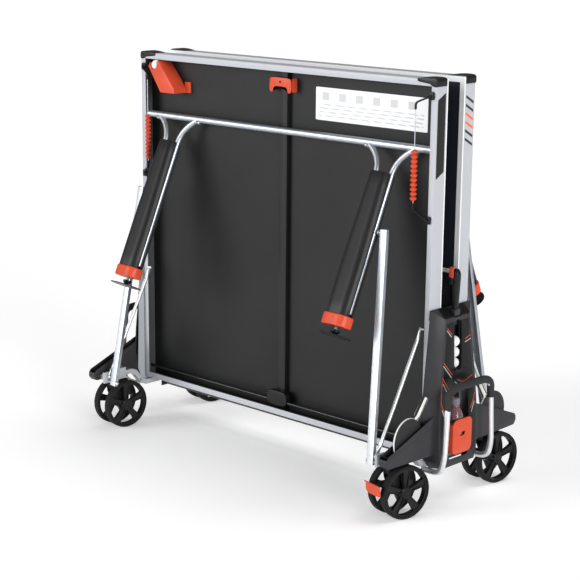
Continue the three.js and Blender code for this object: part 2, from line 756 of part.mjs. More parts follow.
function brakePedal() {
  const arm = block(-13.5, 13.5, -95, -12, 132, 144);
  const pad = plateAcrossY(roundedRectangle(-44, 44, 98, 146, 12), -98, -93, 3);
  const lip = block(-38, 38, -109, -95, 142, 146);
  return join(arm, pad, lip);
}

function casters() {
  const group = new THREE.Group();
  const placed = [
    ['front_right', 1, -1, -14],
    ['front_left', -1, -1, -6],
    ['rear_right', 1, 1, -9],
    ['rear_left', -1, 1, 171],
  ];
  for (const [where, signX, signY, degrees] of placed) {
    const caster = new THREE.Group();
    caster.position.set(signX * CASTER_X, signY * CASTER_Y, 0);
    caster.rotation.z = THREE.MathUtils.degToRad(degrees);
    caster.add(named(`${where}_caster_fork`, fork(), BLACK_PLASTIC));
    caster.add(named(`${where}_twin_wheels`, twinWheels(), TYRE_RUBBER));
    if (where === 'front_right' || where === 'rear_left') {
      caster.add(named(`${where}_brake_pedal`, brakePedal(), ORANGE_PLASTIC));
    }
    group.add(caster);
  }
  return group;
}

// ---------------------------------------------------------------- assembly

function chassis() {
  const group = new THREE.Group();
  group.add(named('cross_beam', crossBeam(), BLACK_STEEL));
  for (const [hand, sign] of [['right', 1], ['left', -1]]) {
    const turn = (geometry) => (sign > 0 ? geometry : mirrored(geometry));
    group.add(named(`end_frame_${hand}`, turn(endFrame()), CREAM_STEEL));
    group.add(named(`end_cover_${hand}`, turn(endCover()), CHARCOAL_PLASTIC));
    group.add(named(`bumper_tube_${hand}`, turn(bumperTube()), ZINC));
    group.add(named(`bottle_holder_${hand}`, turn(bottleHolder()), ORANGE_PLASTIC));
    group.add(named(`net_post_${hand}`, turn(netPost()), BLACK_PLASTIC));
    group.add(named(`net_tension_lever_${hand}`, turn(tensionLever()), ORANGE_PLASTIC));
  }
  group.add(named('drink_bottle', bottle(), BOTTLE_CLEAR));
  group.add(named('spare_balls', spareBalls(), BALL_WHITE));
  group.add(named('net', block(-763.7, 763.7, -1.5, 1.5, 718, 870), NET_BLACK));
  for (const [name, sign] of [['bat_front', -1], ['bat_rear', 1]]) {
    const mesh = named(name, bat(), BAT_WOOD);
    mesh.position.set(788.5, sign * 250, 292);
    mesh.rotation.x = sign * THREE.MathUtils.degToRad(35);
    group.add(mesh);
  }
  return group;
}

function table() {
  const whole = new THREE.Group();
  const front = new THREE.Group();
  front.add(playingHalf('front'), linkageOf('front'));
  const rear = new THREE.Group();
  rear.rotation.z = Math.PI;
  rear.add(playingHalf('rear'), linkageOf('rear'));
  whole.add(front, rear, chassis(), casters());
  return whole;
}

export default table();
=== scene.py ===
"""Folding outdoor table tennis table, stored upright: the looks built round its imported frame.

Finer surfaces or copies with rounded edges stand for most of the frame's nodes. The boards, the
pivot shafts and the cross beam keep their shape and get finishes. The surfaces are worked out
with numpy, in metres, in the frame's own axes: X along the net, Y along the table's length, Z up
from the floor. A front piece is given in its place and turned half a turn for the rear.
"""

import logging
import math
from dataclasses import dataclass, field
from enum import Enum
from typing import Iterable, Sequence

import bmesh
import bpy
import numpy as np
from mathutils import Matrix, Vector


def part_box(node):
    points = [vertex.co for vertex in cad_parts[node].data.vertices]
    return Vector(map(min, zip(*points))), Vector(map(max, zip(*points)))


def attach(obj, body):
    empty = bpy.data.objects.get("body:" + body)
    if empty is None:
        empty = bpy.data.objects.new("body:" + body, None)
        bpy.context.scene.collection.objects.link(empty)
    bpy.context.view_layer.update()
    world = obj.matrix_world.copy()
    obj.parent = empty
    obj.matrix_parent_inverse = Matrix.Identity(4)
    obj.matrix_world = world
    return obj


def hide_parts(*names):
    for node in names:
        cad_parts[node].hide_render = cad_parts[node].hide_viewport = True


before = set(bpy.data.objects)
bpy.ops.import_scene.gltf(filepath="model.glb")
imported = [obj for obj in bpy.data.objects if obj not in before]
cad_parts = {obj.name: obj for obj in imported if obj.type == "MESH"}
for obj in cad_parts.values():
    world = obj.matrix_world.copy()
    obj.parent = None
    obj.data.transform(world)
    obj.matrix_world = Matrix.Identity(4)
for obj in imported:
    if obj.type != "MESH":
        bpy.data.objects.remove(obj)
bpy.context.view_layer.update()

log = logging.getLogger("table")
Array = np.ndarray
Colour = tuple[float, float, float]
Span = tuple[float, float]
Corners = Sequence[Sequence[float]]
Material = bpy.types.Material

X_AXIS = np.array([1.0, 0.0, 0.0])
Y_AXIS = np.array([0.0, 1.0, 0.0])

LEAN = math.radians(24.8)  # the folded legs' angle from upright
HALF_WIDTH = 0.7625  # half the top's width
LOW_EDGE, HIGH_EDGE = 0.180, 1.550  # heights of a folded half's net edge and far edge
CROSSBAR = np.array([0.0, -0.091, 1.303])  # the crossbar's middle
LEG_X = 0.556  # from the middle of the table to the middle of a leg
LEG_DOWN = np.array([0.0, -math.sin(LEAN), -math.cos(LEAN)])
LEG_FORWARD = np.array([0.0, math.cos(LEAN), -math.sin(LEAN)])
KINGPIN_X, KINGPIN_Y = 0.757, 0.272  # a caster's kingpin

COVER_FRONT, COVER_SLOPE = 0.8365, 0.045  # an end cover's front lies at x = FRONT - SLOPE z
BAT_PLACE = np.array([0.7885, 0.250, 0.292])  # the middle of the right rear bat's blade
BAT_TILT = math.radians(35.0)  # how far a stored bat leans outwards

SPECULAR_LEVEL = 0.15  # every finish mirrors the bright studio only weakly
COAT_ROUGHNESS = 0.03  # a coat's own roughness where a finish names no other


class Side(Enum):
    """Which playing half: the rear one is the front one turned half a turn about Z."""

    FRONT = 1.0
    REAR = -1.0

    @property
    def word(self) -> str:
        """The half's name as the frame's nodes spell it."""
        return self.name.lower()


class Hand(Enum):
    """Which end of the table, seen from the front."""

    RIGHT = 1.0
    LEFT = -1.0

    @property
    def word(self) -> str:
        """The end's name as the frame's nodes spell it."""
        return self.name.lower()


# ------------------------------------------------------------------ surfaces


@dataclass
class Surface:
    """A grid of points, rows by columns, whose columns close into rings.

    Args:
        points: array of shape (rows, columns, 3).
        capped: close the first and last ring with a fan to their middle.
        ringed: join the last row back to the first, as on a torus.
    """

    points: Array
    capped: bool = True
    ringed: bool = False

    def mesh_data(self) -> tuple[Array, Array]:
        """Turn the grid into vertices and triangles that face outwards.

        Quads (r, c), (r, c+1), (r+1, c+1), (r+1, c) are split in two; a fan closes each end.
        The signed volume of all triangles tells whether the order must be turned round.

        Returns:
            Vertices (n, 3) and triangles (m, 3).
        """
        rows, columns, _ = self.points.shape
        vertices = self.points.reshape(-1, 3)
        row_count = rows if self.ringed else rows - 1
        r, c = np.meshgrid(np.arange(row_count), np.arange(columns), indexing="ij")
        r_next = (r + 1) % rows
        c_next = (c + 1) % columns
        a, b = r * columns + c, r * columns + c_next
        d, e = r_next * columns + c_next, r_next * columns + c
        triangles = np.concatenate([
            np.stack([a, b, d], axis=-1).reshape(-1, 3),
            np.stack([a, d, e], axis=-1).reshape(-1, 3),
        ])
        if self.capped and not self.ringed:
            middles = np.stack([self.points[0].mean(axis=0), self.points[-1].mean(axis=0)])
            count = len(vertices)
            ring = np.arange(columns)
            after = (ring + 1) % columns
            base = (rows - 1) * columns
            first = np.stack([np.full(columns, count), after, ring], axis=-1)
            last = np.stack([np.full(columns, count + 1), base + ring, base + after], axis=-1)
            vertices = np.concatenate([vertices, middles])
            triangles = np.concatenate([triangles, first, last])
        corner = vertices[triangles]
        volume = np.einsum("ij,ij->i", corner[:, 0], np.cross(corner[:, 1], corner[:, 2])).sum()
        if volume < 0:
            triangles = triangles[:, ::-1]
        return vertices, triangles


def circle(radius: float, sides: int) -> Array:
    """Points (radius cos t, radius sin t) for t round a full turn."""
    t = np.linspace(0, 2 * np.pi, sides, endpoint=False)
    return np.stack([radius * np.cos(t), radius * np.sin(t)], axis=-1)


def squircle(half_a: float, half_b: float, power: float = 5.0, sides: int = 48) -> Array:
    """A rounded rectangle: a = A |cos t|^(2/p) sign(cos t), b the same with the sine.

    Args:
        half_a: half the width.
        half_b: half the depth.
        power: 2 is an ellipse; larger values square the corners.
        sides: number of points.

    Returns:
        Outline points (sides, 2).
    """
    t = np.linspace(0, 2 * np.pi, sides, endpoint=False) + np.pi / sides
    ca, sb = np.cos(t), np.sin(t)
    return np.stack([
        half_a * np.sign(ca) * np.abs(ca) ** (2 / power),
        half_b * np.sign(sb) * np.abs(sb) ** (2 / power),
    ], axis=-1)


def smooth_outline(corners: Corners, rounds: int = 3) -> Array:
    """Round a polygon: each corner gives way to points at a quarter of its two edges.

    Args:
        corners: the polygon's corners in order.
        rounds: how many times the corners are cut.

    Returns:
        Outline points (n, 2).
    """
    points = np.array(corners, float)
    for _ in range(rounds):
        after = np.roll(points, -1, axis=0)
        points = np.stack([0.75 * points + 0.25 * after, 0.25 * points + 0.75 * after], axis=1)
        points = points.reshape(-1, 2)
    return points


def axes_from(along: Sequence[float], hint: Sequence[float] = (0.0, 0.0, 1.0)) -> Array:
    """Three unit rows: a, b square to a direction, and the direction itself.

    Args:
        along: the direction that becomes the third row.
        hint: a vector that the first row leans towards.

    Returns:
        Array (3, 3) of rows.
    """
    w = np.array(along, float)
    w /= np.linalg.norm(w)
    u = np.array(hint, float)
    u -= w * u.dot(w)
    if np.linalg.norm(u) < 1e-6:
        u = np.array([1.0, 0.0, 0.0]) - w * w[0]
    u /= np.linalg.norm(u)
    return np.stack([u, np.cross(w, u), w])


def turned(profile: Corners, origin: Sequence[float],
           along: Sequence[float], sides: int = 48, ringed: bool = False) -> Surface:
    """A profile of (radius, height) spun about an axis: p = o + r cos t u + r sin t v + h w.

    Args:
        profile: radius and height pairs, from one end to the other.
        origin: the point where height is 0.
        along: the axis.
        sides: points round a turn.
        ringed: the profile closes on itself.

    Returns:
        The surface.
    """
    rh = np.array(profile, float)
    u, v, w = axes_from(along, (0.3, 0.2, 1.0))
    unit = circle(1.0, sides)
    spread = unit[None, :, 0, None] * u + unit[None, :, 1, None] * v
    points = np.array(origin) + rh[:, None, 0, None] * spread + rh[:, None, 1, None] * w
    return Surface(points, capped=not ringed, ringed=ringed)


def swept(path: Array, outline: Array, reference: Sequence[float] = (1.0, 1.0, 1.0),
          scale: Array | None = None) -> Surface:
    """Carry an outline along a path: p = c + a u + b v.

    The tangent t at a point c comes from its neighbours, u is the reference with its part along
    t taken away, and v = t x u.

    Args:
        path: points (n, 3).
        outline: points (m, 2).
        reference: a direction never parallel to the path.
        scale: optional size of the outline at each point.

    Returns:
        The surface.
    """
    tangent = np.gradient(path, axis=0)
    tangent /= np.linalg.norm(tangent, axis=1, keepdims=True)
    ref = np.array(reference, float)
    u = ref - tangent * (tangent @ ref)[:, None]
    u /= np.linalg.norm(u, axis=1, keepdims=True)
    v = np.cross(tangent, u)
    size = np.ones(len(path)) if scale is None else scale
    a = outline[None, :, 0, None] * size[:, None, None]
    b = outline[None, :, 1, None] * size[:, None, None]
    return Surface(path[:, None, :] + a * u[:, None, :] + b * v[:, None, :])


def lofted(path: Array, outline: Array, half_a: Array, half_b: Array, axis_a: Array,
           axis_b: Array) -> Surface:
    """Rings along a path, each with its own size: p = c + a A u + b B v.

    Args:
        path: the rings' middles c (n, 3).
        outline: points (a, b), shape (m, 2).
        half_a: size A of each ring along the first axis (n,).
        half_b: size B of each ring along the second axis (n,).
        axis_a: direction u, the same for every ring (3,) or one for each (n, 3).
        axis_b: direction v, likewise.

    Returns:
        The surface.
    """
    u = np.broadcast_to(axis_a, path.shape)[:, None]
    v = np.broadcast_to(axis_b, path.shape)[:, None]
    return Surface(path[:, None] + outline[None, :, :1] * half_a[:, None, None] * u
                   + outline[None, :, 1:] * half_b[:, None, None] * v)


def rounded_path(corners: Corners, radius: float, steps: int = 8) -> Array:
    """Straight runs with each inner corner replaced by a quadratic curve.

    At a corner the curve leaves and joins the runs at a distance radius, with the corner as
    its control point: p = (1-s)^2 a + 2 s (1-s) k + s^2 b.

    Args:
        corners: the corner points in order.
        radius: how far from the corner the curve starts.
        steps: points on each curve.

    Returns:
        Points (n, 3).
    """
    k = np.array(corners, float)
    back = k[:-2] - k[1:-1]
    ahead = k[2:] - k[1:-1]
    reach_back = np.minimum(radius, 0.48 * np.linalg.norm(back, axis=1))
    reach_ahead = np.minimum(radius, 0.48 * np.linalg.norm(ahead, axis=1))
    a = k[1:-1] + back / np.linalg.norm(back, axis=1, keepdims=True) * reach_back[:, None]
    b = k[1:-1] + ahead / np.linalg.norm(ahead, axis=1, keepdims=True) * reach_ahead[:, None]
    s = np.linspace(0, 1, steps)[None, :, None]
    curve = (1 - s) ** 2 * a[:, None] + 2 * s * (1 - s) * k[1:-1][:, None] + s ** 2 * b[:, None]
    return np.concatenate([k[:1], curve.reshape(-1, 3), k[-1:]])


def slab(outline: Array, origin: Sequence[float], along: Sequence[float],
         hint: Sequence[float], depth: float, soft: float) -> Surface:
    """An outline given depth, its rims rounded.

    For q from 0 to a quarter turn, a ring stands soft(1 - cos q) from the face and is drawn in
    by soft(1 - sin q) towards the outline's middle; the other face is the same in reverse.

    Args:
        outline: points (m, 2) about their own middle.
        origin: the middle of the first face.
        along: the direction of the depth.
        hint: the direction of the outline's first axis.
        depth: the thickness.
        soft: the radius of the rim.

    Returns:
        The surface.
    """
    u, v, w = axes_from(along, hint)
    q = np.linspace(0, np.pi / 2, 5)
    inset = np.concatenate([soft * (1 - np.sin(q)), soft * (1 - np.sin(q[::-1]))])
    height = np.concatenate([soft * (1 - np.cos(q)), depth - soft * (1 - np.cos(q[::-1]))])
    size = np.linalg.norm(outline, axis=1, keepdims=True)
    rings = outline[None] * (1 - inset[:, None, None] / np.maximum(size, 1e-6)[None])
    points = (np.array(origin) + rings[..., :1] * u + rings[..., 1:] * v
              + height[:, None, None] * w)
    return Surface(points)


def half_turned(surface: Surface, side: Side) -> Surface:
    """The surface as it is, or with x and y both changed in sign for the rear half."""
    turn = np.array([side.value, side.value, 1.0])
    return Surface(surface.points * turn, surface.capped, surface.ringed)


def mirrored(surface: Surface, hand: Hand) -> Surface:
    """The surface as it is, or with x changed in sign for the left end."""
    flip = np.array([hand.value, 1.0, 1.0])
    return Surface(surface.points * flip, surface.capped, surface.ringed)


def linked(name: str, data: bpy.types.ID) -> bpy.types.Object:
    """Put data into the scene as an object at the origin.

    Args:
        name: the object's name.
        data: its mesh, camera or lamp.

    Returns:
        The object.
    """
    thing = bpy.data.objects.new(name, data)
    bpy.context.scene.collection.objects.link(thing)
    return thing


def declared(piece: bpy.types.Object, body: str, replaces: Sequence[str]) -> bpy.types.Object:
    """Attach a piece to the empty of its body and hide the frame nodes it stands for.

    Args:
        piece: the object.
        body: the body it rides.
        replaces: frame nodes it stands for.

    Returns:
        The piece.
    """
    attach(piece, body)
    if replaces:
        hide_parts(*replaces)
    return piece


def make_piece(name: str, surfaces: Iterable[Surface], finish: Material, body: str,
               replaces: Sequence[str] = (), slot: str | None = None,
               crease: float = 35.0) -> bpy.types.Object:
    """Put surfaces into one mesh object that rides a body.

    Args:
        name: the object's name.
        surfaces: closed surfaces of the piece.
        finish: its material.
        body: the body it rides.
        replaces: frame nodes it stands for.
        slot: the record's material slot the piece stands for; not used.
        crease: edges sharper than this angle, in degrees, stay sharp.

    Returns:
        The object.
    """
    vertices: list[Array] = []
    triangles: list[Array] = []
    start = 0
    for surface in surfaces:
        points, faces = surface.mesh_data()
        vertices.append(points)
        triangles.append(faces + start)
        start += len(points)
    points, faces = np.concatenate(vertices), np.concatenate(triangles)
    mesh = bpy.data.meshes.new(name)
    mesh.from_pydata(points.tolist(), [], faces.tolist())
    mesh.polygons.foreach_set("use_smooth", np.ones(len(mesh.polygons), bool))
    mesh.set_sharp_from_angle(angle=math.radians(crease))
    mesh.materials.append(finish)
    mesh.update()
    log.info("%s: %d triangles on %s", name, len(faces), body)
    return declared(linked(name, mesh), body, replaces)


def softened(node: str, finish: Material, body: str, width: float) -> bpy.types.Object:
    """A copy of a frame node with its sharp edges rounded over, which stands for the node.

    Args:
        node: the frame node.
        finish: the material.
        body: the body it rides.
        width: how far the rounding reaches from each edge, in metres.

    Returns:
        The copy.
    """
    work = bmesh.new()
    work.from_mesh(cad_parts[node].data)
    bmesh.ops.remove_doubles(work, verts=work.verts, dist=2e-5)
    bmesh.ops.dissolve_limit(work, angle_limit=math.radians(1.0), verts=work.verts,
                             edges=work.edges)
    mesh = bpy.data.meshes.new(f"{node}_soft")
    work.to_mesh(mesh)
    work.free()
    mesh.polygons.foreach_set("use_smooth", np.ones(len(mesh.polygons), bool))
    mesh.materials.clear()
    mesh.materials.append(finish)
    piece = linked(f"{node}_soft", mesh)
    bevel = piece.modifiers.new("soft_edges", "BEVEL")
    bevel.width = width
    bevel.segments = 3
    bevel.limit_method = "ANGLE"
    bevel.angle_limit = math.radians(32.0)
    bevel.harden_normals = True
    bevel.use_clamp_overlap = False
    log.info("%s: edges rounded by %.1f mm", node, width * 1000)
    return declared(piece, body, [node])


# ------------------------------------------------------------------ shader maths


class Signal:
    """One shader socket that takes part in arithmetic; each operation adds a Math node."""

    def __init__(self, graph: "Graph", socket: bpy.types.NodeSocket) -> None:
        """Wrap a socket of a graph."""
        self.graph = graph
        self.socket = socket

    def _math(self, operation: str, first: object, second: object = 0.0) -> "Signal":
        """Add a Math node.

        Args:
            operation: the node's operation.
            first: value or Signal.
            second: value or Signal.

        Returns:
            The node's output.
        """
        settings = {"operation": operation}
        return self.graph.node("ShaderNodeMath", settings, {0: first, 1: second}).out(0)

    def __add__(self, other: object) -> "Signal":
        """Sum."""
        return self._math("ADD", self, other)

    __radd__ = __add__

    def __sub__(self, other: object) -> "Signal":
        """Difference."""
        return self._math("SUBTRACT", self, other)

    def __rsub__(self, other: object) -> "Signal":
        """Difference, the other way round."""
        return self._math("SUBTRACT", other, self)

    def __mul__(self, other: object) -> "Signal":
        """Product."""
        return self._math("MULTIPLY", self, other)

    __rmul__ = __mul__

    def __gt__(self, other: object) -> "Signal":
        """1 where this is larger, else 0."""
        return self._math("GREATER_THAN", self, other)

    def __lt__(self, other: object) -> "Signal":
        """1 where this is smaller, else 0."""
        return self._math("LESS_THAN", self, other)

    def __abs__(self) -> "Signal":
        """Size without sign."""
        return self._math("ABSOLUTE", self)

    def either(self, other: object) -> "Signal":
        """The larger of two."""
        return self._math("MAXIMUM", self, other)

    def between(self, low: float, high: float) -> "Signal":
        """1 above one value and below another, else 0."""
        return (self > low) * (self < high)

    def folded(self, period: float) -> "Signal":
        """Distance from the nearest multiple of a period."""
        return abs(self - self._math("SNAP", self + period / 2, period))


class Placed:
    """A node that has been placed in a graph."""

    def __init__(self, graph: "Graph", node: bpy.types.Node) -> None:
        """Wrap a node."""
        self.graph = graph
        self.node = node

    def out(self, key: int | str) -> Signal:
        """The named or numbered output."""
        return Signal(self.graph, self.node.outputs[key])


class Graph:
    """A material's node tree, built through one method."""

    def __init__(self, name: str) -> None:
        """Start an empty material.

        Args:
            name: the material's name.
        """
        self.material = bpy.data.materials.new(name)
        self.material.use_nodes = True
        self.tree = self.material.node_tree
        self.tree.nodes.clear()

    def node(self, kind: str, settings: dict[str, object] | None = None,
             inputs: dict[int | str, object] | None = None) -> Placed:
        """Add a node: its settings first, then the values or links of its sockets.

        Args:
            kind: the node's type.
            settings: attributes, and "stops" for a ramp's positions and colours.
            inputs: socket name or number to a value or Signal.

        Returns:
            The placed node.
        """
        made = self.tree.nodes.new(kind)
        for key, value in (settings or {}).items():
            if key == "stops":
                elements = made.color_ramp.elements
                while len(elements) < len(value):
                    elements.new(0.5)
                for element, (position, colour) in zip(elements, value):
                    element.position = position
                    element.color = (*colour, 1.0)
            else:
                setattr(made, key, value)
        for key, value in (inputs or {}).items():
            socket = made.inputs[key]
            if isinstance(value, Signal):
                self.tree.links.new(value.socket, socket)
            elif isinstance(value, tuple) and socket.type == "RGBA" and len(value) == 3:
                socket.default_value = (*value, 1.0)
            else:
                socket.default_value = value
        return Placed(self, made)

    def coordinates(self) -> Signal:
        """Object coordinates."""
        return self.node("ShaderNodeTexCoord").out("Object")

    def split(self, vector: Signal) -> tuple[Signal, Signal, Signal]:
        """The three parts of a vector."""
        parts = self.node("ShaderNodeSeparateXYZ", None, {0: vector})
        return parts.out(0), parts.out(1), parts.out(2)

    def noise(self, scale: float, detail: float = 2.0, vector: Signal | None = None) -> Signal:
        """Cloud noise from 0 to 1.

        Args:
            scale: clouds to the metre.
            detail: how many finer layers there are.
            vector: where it is read; Object coordinates if not given.

        Returns:
            The noise.
        """
        inputs = {"Vector": vector or self.coordinates(), "Scale": scale, "Detail": detail}
        return self.node("ShaderNodeTexNoise", None, inputs).out(0)

    def cells(self, scale: float, output: str = "Distance") -> Signal:
        """Voronoi cells: the distance from the nearest middle, or a colour for each cell."""
        inputs = {"Vector": self.coordinates(), "Scale": scale}
        return self.node("ShaderNodeTexVoronoi", {"feature": "F1"}, inputs).out(output)

    def stretched(self, factors: tuple[float, float, float]) -> Signal:
        """Object coordinates multiplied along each axis."""
        inputs = {0: self.coordinates(), 1: factors}
        return self.node("ShaderNodeVectorMath", {"operation": "MULTIPLY"}, inputs).out(0)

    def blend(self, factor: object, first: object, second: object) -> Signal:
        """A colour between two."""
        settings = {"data_type": "RGBA", "clamp_factor": True}
        return self.node("ShaderNodeMix", settings, {0: factor, 6: first, 7: second}).out(2)

    def finish(self, colour: object, roughness: object, height: Signal | None = None,
               relief: float = 0.0002, fixed: dict[str, object] | None = None,
               metallic: object = 0.0, alpha: object = 1.0,
               coat: Span = (0.0, COAT_ROUGHNESS)) -> Material:
        """Close the graph with a Principled shader.

        Args:
            colour: base colour or Signal.
            roughness: value or Signal.
            height: bump height from 0 to 1.
            relief: the bump's distance in metres.
            fixed: other sockets, with uniform values only.
            metallic: value or Signal.
            alpha: value or Signal.
            coat: weight and roughness of the clear coat.

        Returns:
            The material.
        """
        inputs: dict[int | str, object] = {
            "Base Color": colour, "Roughness": roughness, "Metallic": metallic, "Alpha": alpha,
            "Specular IOR Level": SPECULAR_LEVEL, "Coat Weight": coat[0],
            "Coat Roughness": coat[1],
        }
        inputs.update(fixed or {})
        if height is not None:
            bump = self.node("ShaderNodeBump", None, {"Distance": relief, "Height": height})
            inputs["Normal"] = bump.out(0)
        shader = self.node("ShaderNodeBsdfPrincipled", None, inputs)
        self.node("ShaderNodeOutputMaterial", None, {0: shader.out(0)})
        return self.material


# ------------------------------------------------------------------ finishes


def shaded(colour: Colour, factor: float, lift: float = 0.0) -> Colour:
    """Each part of a colour times a factor, plus a lift, and never over 1."""
    return tuple(min(1.0, c * factor + lift) for c in colour)


@dataclass(frozen=True)
class Finish:
    """A named finish; each kind of it paints its own graph."""

    name: str

    def material(self) -> Material:
        """Paint a new graph and give its material."""
        return self.paint(Graph(self.name))

    def paint(self, g: Graph) -> Material:
        """Fill a graph with the finish's nodes and close it."""
        raise NotImplementedError(self.name)


@dataclass(frozen=True)
class PowderCoat(Finish):
    """Baked powder paint: a fine orange-peel surface with faint clouds of handling."""

    colour: Colour
    roughness: float = 0.36
    sheen: float = 0.25

    def paint(self, g: Graph) -> Material:
        """Clouds of dulled colour under an orange-peel bump.

        Args:
            g: the material's empty graph.

        Returns:
            The material.
        """
        clouds = g.noise(5.0, 4.0)
        peel = g.noise(900.0, 2.0)
        colour = g.blend(clouds, shaded(self.colour, 0.86), self.colour)
        return g.finish(colour, self.roughness - 0.06 + clouds * 0.14, peel, 0.00012,
                        coat=(self.sheen, 0.2))


@dataclass(frozen=True)
class ZincPlate(Finish):
    """Zinc-plated tube: crystals of the plating, drawn streaks and a soft metal gloss."""

    light: Colour = (0.56, 0.59, 0.63)
    dark: Colour = (0.38, 0.41, 0.45)
    streak: tuple[float, float, float] = (60.0, 60.0, 6.0)

    def paint(self, g: Graph) -> Material:
        """Plating crystals and drawn streaks mixed between two greys.

        Args:
            g: the material's empty graph.

        Returns:
            The material.
        """
        grain = g.node("ShaderNodeSeparateColor", None, {0: g.cells(85.0, "Color")}).out(0)
        streaks = g.noise(1.0, 4.0, g.stretched(self.streak))
        mixed = grain * 0.35 + streaks * 0.65
        colour = g.blend(mixed, self.dark, self.light)
        fine = g.noise(700.0, 2.0)
        return g.finish(colour, 0.34 + mixed * 0.16, fine, 0.00004, metallic=0.92)


@dataclass(frozen=True)
class Moulded(Finish):
    """Moulded plastic: fine spark-eroded texture, slight mottle, polished where it is touched."""

    colour: Colour
    roughness: float = 0.45
    relief: float = 0.00012
    gloss: float = 0.0

    def paint(self, g: Graph) -> Material:
        """Mottled colour, rubbed gloss and a fine texture.

        Args:
            g: the material's empty graph.

        Returns:
            The material.
        """
        mottle = g.noise(9.0, 5.0)
        texture = g.noise(1500.0, 3.0)
        rubbed = g.noise(28.0, 6.0)
        colour = g.blend(mottle, shaded(self.colour, 0.82), shaded(self.colour, 1.1, 0.004))
        rough = self.roughness - 0.08 + rubbed * 0.18
        return g.finish(colour, rough, texture, self.relief, coat=(self.gloss, 0.15))


@dataclass(frozen=True)
class ApronPaint(Finish):
    """The apron's colours: pale outside, much darker inside the rim's wall, and flat decals on the
    ends.
    """

    side: Side
    pale: Colour = (0.43, 0.44, 0.475)
    dark: Colour = (0.050, 0.052, 0.056)
    slab_black: Colour = (0.010, 0.010, 0.011)
    stripe_black: Colour = (0.02, 0.02, 0.022)
    stripe_orange: Colour = (0.88, 0.13, 0.05)
    paint_edge: float = 0.0018
    lip_y: float = -0.1078
    decal_x: float = 0.7620
    decal_y: Span = (-0.1015, -0.0575)
    slab_z: Span = (1.215, 1.492)
    stripes_z: Span = (1.30, 1.48)
    accent_z: Span = (1.375, 1.435)
    stripe_pitch: float = 0.030
    stripe_half: float = 0.0050

    def paint(self, g: Graph) -> Material:
        """Zones come from Object coordinates in metres.

        Inside is what lies within the rim's wall. A decal lies on the end face, between heights
        measured along a slant that falls 0.55 to one.

        Args:
            g: the material's empty graph.

        Returns:
            The material.
        """
        x, y, z = g.split(g.coordinates())
        x, y = x * self.side.value, y * self.side.value
        clouds = g.noise(4.0, 4.0)
        peel = g.noise(900.0, 2.0)
        flakes = g.noise(2600.0, 1.0)
        pale = g.blend(clouds * 0.6 + flakes * 0.4, self.pale, shaded(self.pale, 1.12))
        # the inside of the rim's wall takes a much darker colour than the outside
        grey = g.blend(clouds, self.dark, shaded(self.dark, 1.5))
        inside = ((abs(x) < HALF_WIDTH - self.paint_edge) * (y > self.lip_y)
                  * z.between(LOW_EDGE + self.paint_edge, HIGH_EDGE - self.paint_edge))
        colour = g.blend(inside, pale, grey)
        slant = z + (y + 0.078) * -0.55
        face = (x * self.side.value > self.decal_x) * y.between(*self.decal_y)
        if self.side is Side.FRONT:
            colour = g.blend(face * slant.between(*self.slab_z), colour, self.slab_black)
        else:
            stripes = (slant.between(*self.stripes_z)
                       * (slant.folded(self.stripe_pitch) < self.stripe_half))
            accent = slant.between(*self.accent_z)
            colour = g.blend(face * stripes * (1 - accent), colour, self.stripe_black)
            colour = g.blend(face * stripes * accent, colour, self.stripe_orange)
        return g.finish(colour, 0.32 + clouds * 0.1 + inside * 0.14, peel, 0.00010,
                        coat=(0.25, 0.2))


@dataclass(frozen=True)
class TopLaminate(Finish):
    """The top: slate face with white edge and centre lines, dark grey sheet underneath."""

    side: Side
    line_width: float = 0.020
    centre_line: float = 0.003

    def paint(self, g: Graph) -> Material:
        """The lines run along the top's edges and down its middle.

        Args:
            g: the material's empty graph.

        Returns:
            The material.
        """
        x, y, z = g.split(g.coordinates())
        y = y * self.side.value
        grain = g.noise(1100.0, 3.0)
        clouds = g.noise(3.5, 5.0)
        face = g.blend(clouds, (0.012, 0.016, 0.023), (0.018, 0.023, 0.031))
        under = g.blend(clouds, (0.0070, 0.0072, 0.0075), (0.0150, 0.0153, 0.0160))
        line = ((abs(x) > HALF_WIDTH - self.line_width).either(z < LOW_EDGE + self.line_width)
                .either(z > HIGH_EDGE - self.line_width).either(abs(x) < self.centre_line / 2))
        face = g.blend(line, face, (0.84, 0.85, 0.86))
        colour = g.blend(y < -0.0525, face, under)
        rough = 0.48 + grain * 0.1 - clouds * 0.08
        return g.finish(colour, rough, grain, 0.00018, coat=(0.12, 0.35))


@dataclass(frozen=True)
class LegCasing(Finish):
    """The leg's casing: black, glossy along the ridges, drawn lengthwise by its mould."""

    black: Colour = (0.0105, 0.0105, 0.0115)

    def paint(self, g: Graph) -> Material:
        """Black with a drawn grain down the leg.

        Args:
            g: the material's empty graph.

        Returns:
            The material.
        """
        drawn = g.noise(1.0, 3.0, g.stretched((700.0, 40.0, 8.0)))
        fine = g.noise(1300.0, 2.0)
        mottle = g.noise(8.0, 4.0)
        colour = g.blend(mottle, self.black, shaded(self.black, 1.9))
        return g.finish(colour, 0.36 + drawn * 0.14, drawn * 0.4 + fine * 0.6, 0.00010,
                        coat=(0.08, 0.25))


